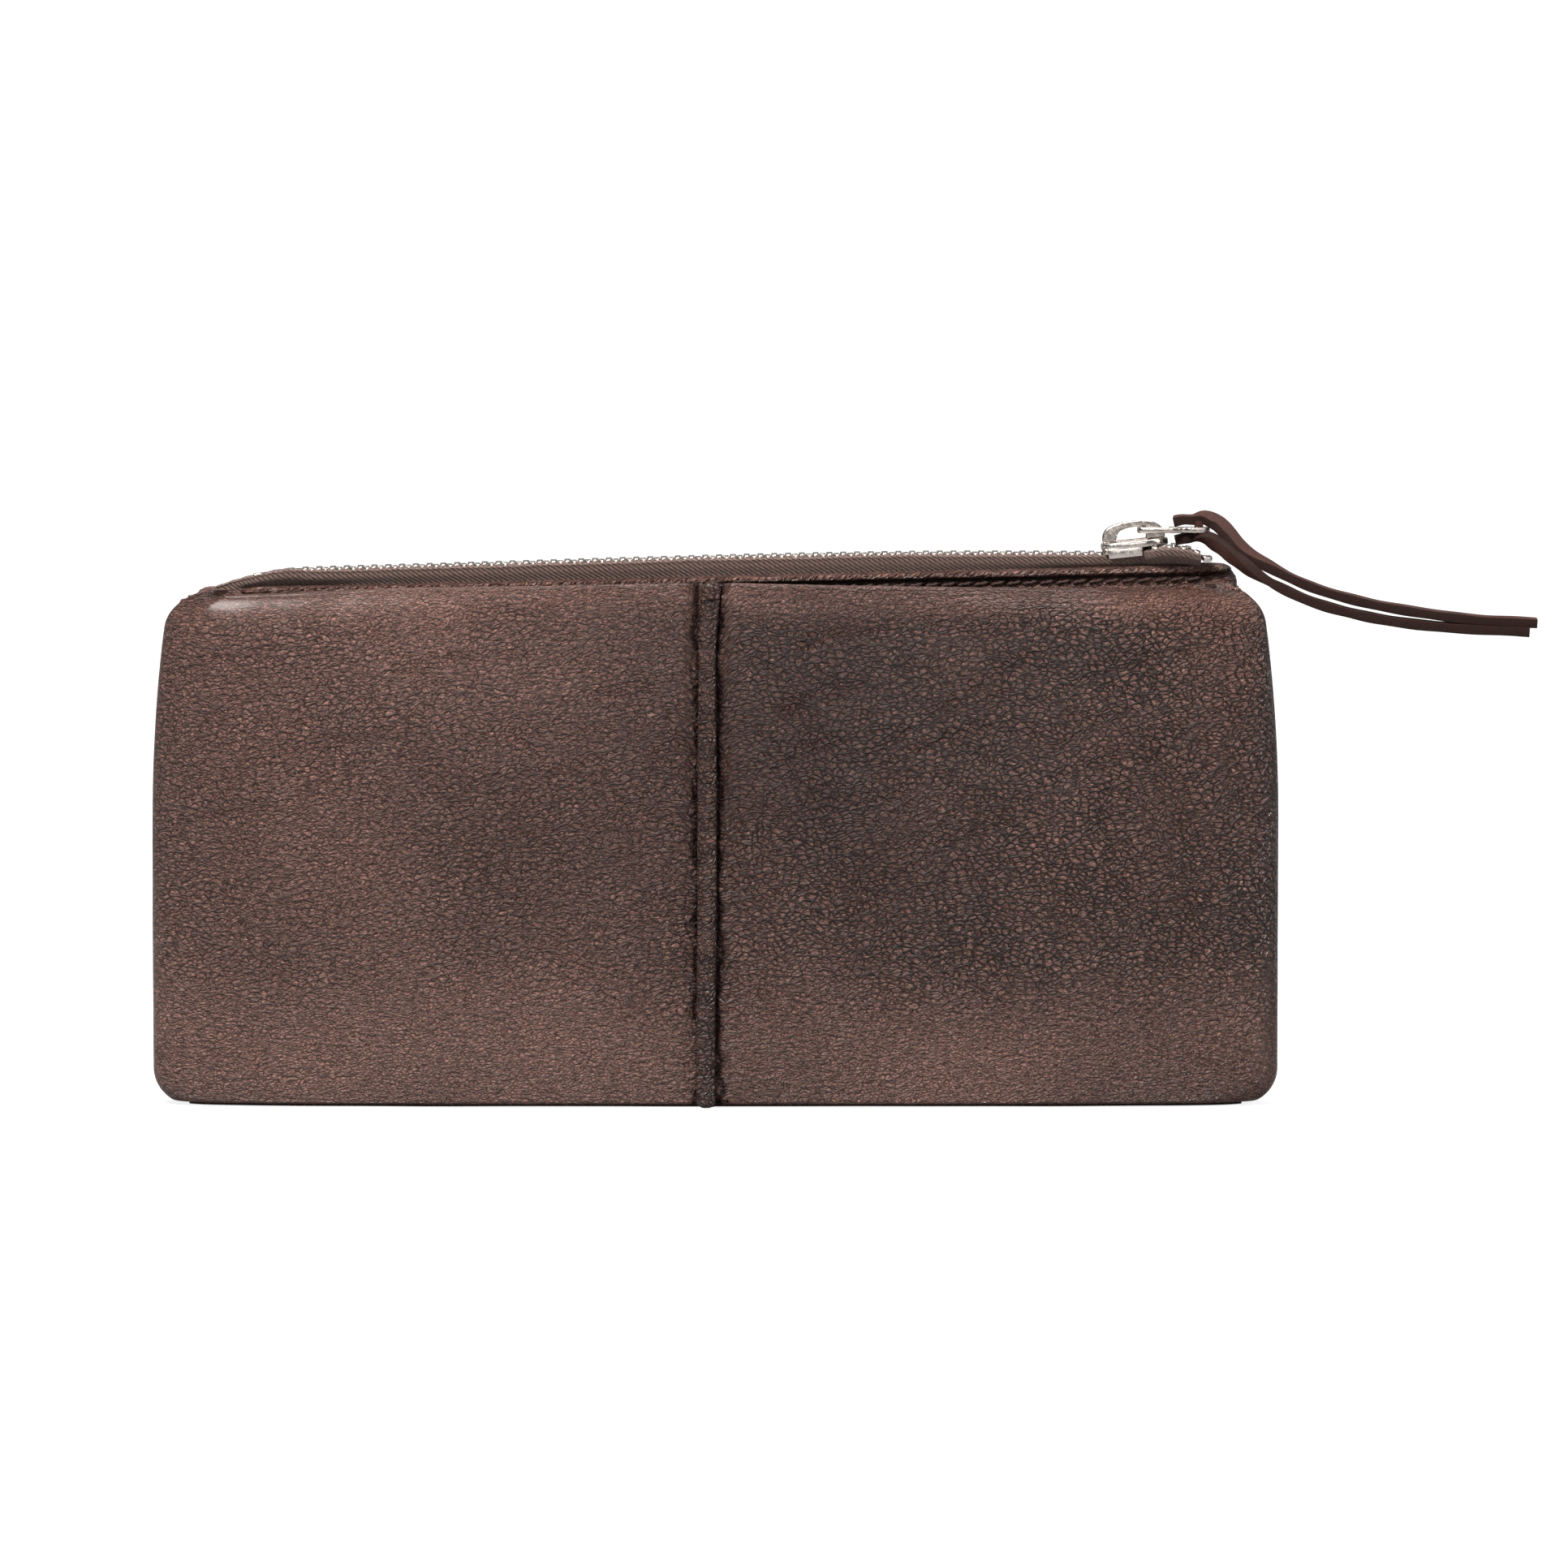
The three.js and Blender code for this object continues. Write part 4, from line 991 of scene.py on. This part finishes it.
def chain_spread(x):
    """The two rows of teeth part beyond the slider."""
    return 1.95 * step(x, 75.2, 78.4)


def pouch_face(x, below):
    """Outer face of the pouch's wall at x, below its top edge, from the middle plane."""
    top = pouch_top(x)
    z = top - below * (top - POUCH_BOTTOM) / POUCH_WALL_RUN
    return np.maximum(plan_depth(x - POUCH_X, pouch_reach(z, top), pouch_depth(z)), POUCH_SIDE + 0.5), z


def tape_path(x, share):
    """Middle of the tape: share 0 is sewn down inside the pouch, share 1 is its edge by the teeth."""
    face, _ = pouch_face(x, 2.0)
    inside = np.maximum(face - 1.6, 1.8)
    top = chain_height(x) + 0.22 + 0.5 * step(x, -71, -76) + 0.2 * step(x, -80, -89)
    z = 88 + (top - 88) * share
    lean = step(z, pouch_top(x) - 0.4, top - 1.0)
    outside = 3.3 + chain_spread(x)
    near_end = step(x, -86, -80)
    return inside + (outside - inside) * near_end * lean, z


def make_tape(name, side, x_from, x_to, seed):
    count = int(abs(x_to - x_from) / (0.6))
    x = np.linspace(x_from, x_to, count)[None, :]
    share = np.concatenate([np.linspace(0, 0.62, 10), np.linspace(0.66, 0.93, 10), np.linspace(0.94, 1, 9)])
    share = share[:, None]
    y, z = tape_path(x, share)
    z = z + share ** 6 * (0.06 * np.cos(2 * math.pi * x / TOOTH_PITCH) + 0.08 * waves(x, share, 15, seed))
    y = y + share ** 3 * 0.05 * waves(x, share * 6, 9, seed + 1)
    grid = np.stack([x + 0 * z, side * y, z], 2)
    to_edge = (1 - share) * 10
    half = 0.25 + 0.14 * hump(to_edge, 0.35, 0.35)
    half = half * np.sqrt(np.clip(1 - (1 - np.clip(to_edge / 0.35, 0, 1)) ** 2, 0.05, 1)) + 0 * z
    return thick_sheet(name, grid, half, (0, side, 0), tape_cloth)


def make_cord(name, side, x_from, x_to):
    """The woven cord along the tape's edge that the teeth grip."""
    x = np.arange(x_from, x_to + 0.01, 0.5)
    y = side * (2.35 + chain_spread(x))
    z = chain_height(x)
    ring = [(0.42 * math.cos(a), 0.42 * math.sin(a)) for a in np.linspace(0, 2 * math.pi, 11)[:-1]]
    rings = [[(px, py + a, pz + b) for a, b in ring] for px, py, pz in zip(x, y, z)]
    return smooth(loft(name, rings, tape_cloth))


TOOTH_SECTIONS = ((-0.92, 0.20, 0.24), (-0.86, 0.33, 0.40), (-0.60, 0.44, 0.55), (0.0, 0.47, 0.62),
                  (0.6, 0.40, 0.62), (1.1, 0.38, 0.64), (1.6, 0.50, 0.72), (2.0, 0.56, 0.78),
                  (2.7, 0.56, 0.78), (3.0, 0.50, 0.70), (3.08, 0.38, 0.5))


def rounded_ring(half_x, half_z, corner, count=4):
    """A rounded rectangle as points (x, z)."""
    corner = min(corner, half_x, half_z)
    ring = []
    for quarter in range(4):
        sx = 1 if quarter in (0, 3) else -1
        sz = 1 if quarter in (0, 1) else -1
        for k in range(count):
            angle = (quarter + k / (count - 1)) * math.pi / 2
            ring.append((sx * (half_x - corner) + corner * math.cos(angle),
                         sz * (half_z - corner) + corner * math.sin(angle)))
    return ring


def make_teeth(name, side, first, last, offset):
    points, faces = [], []
    x = CHAIN_START + 1.05 + offset * TOOTH_PITCH
    template = [[(a, reach, b) for a, b in rounded_ring(w, h, 0.2)] for reach, w, h in TOOTH_SECTIONS]
    around = len(template[0])
    while x < CHAIN_END - 0.3:
        if first <= x < last:
            slope = math.atan2(float(chain_height(x + 1) - chain_height(x - 1)), 2)
            spread = float(chain_spread(x))
            base = len(points)
            for ring in template:
                for a, reach, b in ring:
                    points.append((x + a * math.cos(slope) - b * math.sin(slope), side * (reach + spread),
                                   float(chain_height(x)) + a * math.sin(slope) + b * math.cos(slope)))
            faces += ring_faces(len(template), around, base)
        x += TOOTH_PITCH
    made = new_object(name, points, faces, nickel)
    face_out(made)
    return smooth(made, 50)


front_tape = make_tape("zip_tape_1", -1, TAPE_START, TAPE_END, 401)
front_cord = make_cord("zip_cord_1", -1, CHAIN_START + 0.3, TAPE_END)
front_teeth = make_teeth("zip_teeth_1", -1, -90, 90, 0.0)
for piece, finish_slot in ((front_tape, "zip_tape"), (front_cord, "zip_tape"), (front_teeth, "nickel")):
    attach(piece, "pouch")
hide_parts("zip_tape_front")
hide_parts("zip_teeth_front")
for hand, x_from, x_to in (("left", TAPE_START, 0.0), ("right", 0.0, TAPE_END)):
    tape = make_tape(f"zip_tape_2_{hand}", 1, x_from, x_to, 431)
    cord = make_cord(f"zip_cord_2_{hand}", 1, max(x_from, CHAIN_START + 0.3), x_to)
    teeth = make_teeth(f"zip_teeth_2_{hand}", 1, x_from, x_to, 0.5)
    for piece, finish_slot in ((tape, "zip_tape"), (cord, "zip_tape"), (teeth, "nickel")):
        bend(piece, "back_half", MOUTH_END)
    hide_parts("zip_tape_back")
    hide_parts("zip_teeth_back")


# ---- Topstitching --------------------------------------------------------------------------------
def twisted_stitch(x, side):
    """One stitch: two plies twisted together, dipping into the leather at both ends."""
    half_run = STITCH_PITCH * 0.42
    rings = []
    for t in np.linspace(-1, 1, 11):
        rise = math.sqrt(max(0, 1 - abs(t) ** 3))
        px = x + t * half_run
        face, z = pouch_face(px, STITCH_BELOW_EDGE + 0.1 - 0.16 * t)
        size = 0.16 + 0.17 * rise
        ring = []
        for k in range(12):
            angle = k / 12 * 2 * math.pi
            radius = size * (0.82 + 0.24 * math.cos(2 * angle + t * 5.5))
            ring.append((px, side * (float(face) - 0.1 + 0.22 * rise + radius * math.cos(angle)),
                         float(z) + radius * math.sin(angle)))
        rings.append(ring)
    return rings


def make_stitching(name, side, first, last):
    points, faces, uvs = [], [], []
    x = STITCH_START
    while x < STITCH_END:
        if first <= x < last:
            rings = twisted_stitch(x, side)
            base, around = len(points), len(rings[0])
            for k, ring in enumerate(rings):
                points += ring
                uvs += [(i * 0.18, x + k * 0.25) for i in range(around)]
            faces += ring_faces(len(rings), around, base)
        x += STITCH_PITCH
    made = new_object(name, points, faces, thread)
    face_out(made)
    set_uv(made, uvs)
    return smooth(made, 60)


stitches = make_stitching("topstitching_1", -1, -90, 90)
settle(stitches, "pouch", "topstitch_front")
for hand, x_from, x_to in (("left", -90, 0), ("right", 0, 90)):
    stitches = make_stitching(f"topstitching_2_{hand}", 1, x_from, x_to)
    settle_bent(stitches, "sewing_thread", "back_half", "topstitch_back", MOUTH_END)


# ---- Metal pieces --------------------------------------------------------------------------------
def plate(name, outline, holes, thickness, bevel=0.22, corner=0.5):
    """A flat plate with rounded corners and softened edges, from outlines in mm, about z = 0."""
    data = bpy.data.curves.new(name, "CURVE")
    data.dimensions = "2D"
    data.fill_mode = "BOTH"
    data.extrude = (thickness / 2 - bevel) * MM
    data.bevel_depth = bevel * MM
    data.bevel_resolution = 3
    data.offset = -bevel * MM
    for shape in [outline, *holes]:
        ring = round_corners(shape, corner)
        spline_data = data.splines.new("POLY")
        spline_data.points.add(len(ring) - 1)
        for point, (a, b) in zip(spline_data.points, ring):
            point.co = (a * MM, b * MM, 0, 1)
        spline_data.use_cyclic_u = True
    holder = add_to_scene(name, data)
    mesh = bpy.data.meshes.new_from_object(holder.evaluated_get(bpy.context.evaluated_depsgraph_get()))
    bpy.data.objects.remove(holder)
    mesh.materials.clear()
    mesh.materials.append(nickel)
    return add_to_scene(name, mesh)


def round_corners(shape, radius, count=6):
    ring = []
    total = len(shape)
    for k in range(total):
        before, here, after = (Vector(shape[(k + d) % total]) for d in (-1, 0, 1))
        reach = min(radius, (before - here).length / 2.05, (after - here).length / 2.05)
        start = here + (before - here).normalized() * reach
        end = here + (after - here).normalized() * reach
        for t in np.linspace(0, 1, count):
            ring.append(tuple(start * (1 - t) ** 2 + here * 2 * t * (1 - t) + end * t ** 2))
    return ring


def join(name, parts):
    """One object from several meshes that are already in place."""
    work = bmesh.new()
    for part in parts:
        part.data.transform(part.matrix_basis)
        work.from_mesh(part.data)
    mesh = bpy.data.meshes.new(name)
    work.to_mesh(mesh)
    work.free()
    mesh.materials.append(parts[0].data.materials[0])
    for part in parts:
        bpy.data.objects.remove(part)
    return add_to_scene(name, mesh)


def block(name, x, y, z, bevel):
    """A box between the given limits in mm, with rounded edges."""
    work = bmesh.new()
    bmesh.ops.create_cube(work, size=1)
    size = [b - a for a, b in (x, y, z)]
    middle = [(a + b) / 2 for a, b in (x, y, z)]
    bmesh.ops.scale(work, vec=size, verts=work.verts)
    bmesh.ops.translate(work, vec=middle, verts=work.verts)
    bmesh.ops.bevel(work, geom=work.edges[:] + work.verts[:], offset=bevel, segments=4, profile=0.5,
                    affect="EDGES")
    bmesh.ops.scale(work, vec=(MM, MM, MM), verts=work.verts)
    mesh = bpy.data.meshes.new(name)
    work.to_mesh(mesh)
    work.free()
    mesh.materials.append(nickel)
    return add_to_scene(name, mesh)


CHAIN_AT_SLIDER = float(chain_height(SLIDER_X))
SLIDER_FRAME = (Matrix.Translation((SLIDER_X * MM, 0, CHAIN_AT_SLIDER * MM))
                @ Matrix.Rotation(-SLIDER_TILT, 4, "Y"))
UPRIGHT = Matrix.Rotation(math.pi / 2, 4, "X")


def set_in_slider(part, turn=Matrix.Identity(4), shift=(0, 0, 0)):
    part.matrix_basis = SLIDER_FRAME @ Matrix.Translation([v * MM for v in shift]) @ turn
    return part


shield = [(-5.9, -2.7), (-4.6, -4.3), (-1.5, -4.6), (2.6, -4.6), (4.8, -3.5), (6.0, -1.6),
          (6.0, 1.6), (4.8, 3.5), (2.6, 4.6), (-1.5, 4.6), (-4.6, 4.3), (-5.9, 2.7)]
lower_shield = [(-5.4, -1.3), (-4.4, -1.75), (4.6, -1.75), (5.9, -1.0), (5.9, 1.0), (4.6, 1.75),
                (-4.4, 1.75), (-5.4, 1.3)]
top_plate = set_in_slider(plate("top", shield, [], 1.2, 0.3, 1.2), shift=(0, 0, 1.55))
low_plate = set_in_slider(plate("low", lower_shield, [], 1.0, 0.25, 0.8), shift=(0, 0, -1.4))
flanges = [set_in_slider(block("flange", (-4.9, 1.2), sorted((s * 3.95, s * 4.6)), (-0.6, 1.3), 0.28))
           for s in (-1, 1)]
rear_lips = [set_in_slider(block("lip", (-5.5, -4.2), sorted((s * 3.2, s * 4.2)), (0.2, 1.3), 0.25))
             for s in (-1, 1)]
wedge = set_in_slider(block("wedge", (4.0, 5.85), (-0.7, 0.7), (-1.2, 1.2), 0.3))
slider_shell = join("slider_shell", [top_plate, low_plate, wedge, *flanges, *rear_lips])
smooth(slider_shell, 45)
settle(slider_shell, "slider", "slider_body")

arch = [(-5.65, 2.1), (-5.5, 3.6), (-4.9, 4.6), (-3.6, 5.25), (-1.5, 5.6), (1.5, 5.62), (3.6, 5.3),
        (4.9, 4.4), (5.5, 3.4), (5.6, 2.1)]
window = [(-3.0, 2.2), (-2.9, 3.5), (-2.3, 4.15), (-1.0, 4.5), (1.4, 4.6), (2.2, 4.3), (2.2, 2.2)]
bridge = plate("bridge", arch, [window], 2.4, 0.32, 0.7)
bridge = join("slider_arch", [set_in_slider(bridge, UPRIGHT)])
smooth(bridge, 45)
settle(bridge, "slider", "slider_bridge")

PIVOT = next(j["pos_m"] for j in frame["joints"] if j["name"] == "pull_swing")
eye = [(0.5, -1.6), (5.3, -1.6), (5.3, 1.6), (0.5, 1.6)]
lace_slot = [(9.4, -1.75), (11.3, -1.75), (11.3, 1.75), (9.4, 1.75)]
bar = [(-0.5, -2.0), (0.0, -2.6), (6.0, -2.6), (7.6, -1.9), (8.6, -2.6), (11.6, -2.6), (12.3, -2.0),
       (12.3, 2.0), (11.6, 2.6), (8.6, 2.6), (7.6, 1.9), (6.0, 2.6), (0.0, 2.6), (-0.5, 2.0)]
tab = plate("tab", bar, [eye, lace_slot], 1.0, 0.2, 0.6)
tab.matrix_basis = Matrix.Translation(PIVOT)
tab = smooth(join("pull_bar", [tab]), 45)
settle(tab, "pull", "pull_tab")

TOP_STOP_X, TOP_STOP_Z = (86.3, 88.0), (96.6, 97.6)
TOP_STOP_INNER, TOP_STOP_OUTER = 1.95, 4.5
for side, word in ((-1, "front"), (1, "back")):
    stop_y = sorted((side * TOP_STOP_INNER, side * TOP_STOP_OUTER))
    stop = smooth(block(f"top_stop_{word}", TOP_STOP_X, stop_y, TOP_STOP_Z, 0.3), 50)
    settle(stop, "pouch", f"zip_top_stop_{word}")
stop_low, stop_high = low("zip_bottom_stop"), high("zip_bottom_stop")
bottom_stop = smooth(block("bottom_stop", *zip(stop_low, stop_high), 0.35), 50)
settle(bottom_stop, "pouch", "zip_bottom_stop")


# ---- The lace ------------------------------------------------------------------------------------
def lace_section(width, thickness):
    """A flat strip's section, with slightly rounded corners."""
    return np.array(rounded_ring(width / 2, thickness / 2, LACE_CORNER))


def make_lace(name, route, steps, seed, turn):
    """A cut strip of leather along the route, wide across it, with a slight twist."""
    path = spline(route, steps)
    section = lace_section(LACE_WIDTH, LACE_THICKNESS)
    rings = []
    for k, _ in enumerate(path):
        share = k / (steps - 1)
        angle = turn * float(step(share, 0.08, 0.2) * step(share, 0.5, 0.28)) + 0.1
        wobble = 1 + 0.03 * math.sin(k * 0.53 + seed) + 0.02 * math.sin(k * 0.21 + 2 * seed)
        ring = section * [wobble, 1 + 0.05 * math.sin(k * 0.4 + seed)]
        ring = np.stack([ring[:, 0] * math.cos(angle) - ring[:, 1] * math.sin(angle),
                         ring[:, 0] * math.sin(angle) + ring[:, 1] * math.cos(angle)], 1)
        rings.append(ring)
    made = smooth(sweep(name, path, rings, lace_leather), 60)
    side = (np.abs(section[:, 0]) > LACE_WIDTH / 2 - 0.12).astype(float)
    store(made, edge=np.tile(side, steps))
    return made, path


UPPER_ROUTE = [
    (81.4, 0.3, 103.6), (83.0, 0.1, 103.9), (84.9, 0, 103.9), (86.7, -0.3, 104.3), (88.9, -1.6, 103.4),
    (90.9, -4.8, 101.5), (93.4, -8.4, 98.6), (97.8, -11, 96), (102.5, -12, 93.6), (107.5, -12.4, 91.7),
    (115.9, -12.6, 89.5), (125.2, -12.7, 87.9), (133.9, -12.8, 86.8), (144.8, -12.8, 86.2),
]
LOWER_ROUTE = [
    (81.6, 0.2, 100.2), (83.4, 0.1, 100.6), (85.2, -0.2, 100.8), (86.8, -1.5, 100.6), (89.1, -4.8, 99.6),
    (91.6, -8.4, 97.7), (94.6, -11.1, 95.4), (98.7, -12.6, 92.9), (105, -13.2, 90.0), (112.3, -13.2, 87.9),
    (119.5, -13.2, 86.5), (128.4, -13.2, 85.5), (143.4, -13.1, 84.7),
]


for name, route, seed, turn, node in (("lace_upper", UPPER_ROUTE, 1, 0.55, "thong_upper"),
                                      ("lace_lower", LOWER_ROUTE, 4, -0.75, "thong_lower")):
    strand, path = make_lace(name, route, 150, seed, turn)
    settle(strand, "thong", node)


fold_path = spline([(85.75, 0, 104.1), (85.8, 0, 102.0), (85.75, 0, 100.3)], 12)
fold_section = lace_section(LACE_WIDTH, 1.45)
lace_fold = smooth(sweep("lace_fold", fold_path, [fold_section] * 12, lace_leather), 60)
store(lace_fold, edge=np.zeros(len(lace_fold.data.vertices)))
settle(lace_fold, "pull")


# ---- Light and surroundings ----------------------------------------------------------------------
def backdrop():
    """A pale floor that curves up into a wall behind the object."""
    front, reach, rise, bend_radius, half_width = -2.2, 1.6, 1.4, 0.5, 3.0
    profile = [(front, 0.0), (reach - bend_radius, 0.0)]
    for a in np.linspace(0, math.pi / 2, 17)[1:]:
        profile.append((reach - bend_radius + bend_radius * math.sin(a), bend_radius * (1 - math.cos(a))))
    profile.append((reach, rise))
    points = [(x, y, z) for y, z in profile for x in (-half_width, half_width)]
    faces = [[2 * k, 2 * k + 1, 2 * k + 3, 2 * k + 2] for k in range(len(profile) - 1)]
    mesh = bpy.data.meshes.new("backdrop")
    mesh.from_pydata(points, [], faces)
    g = Graph("paper")
    seen = g.node("ShaderNodeLightPath").outputs["Is Camera Ray"]
    glow = g.range(seen, 0.0, 1.0, 0.05, 0.86, smooth=False)
    mesh.materials.append(g.finish(Base_Color=(0.26, 0.26, 0.26, 1.0), Roughness=0.9,
                                   Emission_Color=(1.0, 1.0, 1.0, 1.0), Emission_Strength=glow))
    return smooth(add_to_scene("backdrop", mesh))


WARM_WHITE = (1.0, 0.95, 0.92)


def softbox(name, place, aim, size, power):
    data = bpy.data.lights.new(name, "AREA")
    data.shape = "RECTANGLE"
    data.size, data.size_y = size
    data.energy = power
    data.color = WARM_WHITE
    lamp = add_to_scene(name, data)
    lamp.location = place
    lamp.rotation_euler = (Vector(aim) - Vector(place)).to_track_quat("-Z", "Y").to_euler()


backdrop()
softbox("key", (-0.40, -0.60, 0.95), (0, 0, 0.05), (0.20, 0.12), 34.0)
softbox("side", (0.95, -0.45, 0.45), (0.05, 0, 0.05), (0.2, 0.35), 4.5)
softbox("front", (0.1, -1.7, 0.5), (0, 0, 0.05), (0.7, 0.4), 4.5)
softbox("top", (0.1, 0.35, 0.9), (0, 0, 0.09), (0.5, 0.2), 6.0)
softbox("wall_light", (0, 0.25, 1.6), (0, 1.3, 0.3), (2.5, 1.0), 18.0)
world = bpy.data.worlds.new("studio")
world.use_nodes = True
world.node_tree.nodes["Background"].inputs["Color"].default_value = (1.0, 1.0, 1.0, 1.0)
world.node_tree.nodes["Background"].inputs["Strength"].default_value = 0.08
bpy.context.scene.world = world
bpy.context.scene.view_settings.view_transform = "Standard"
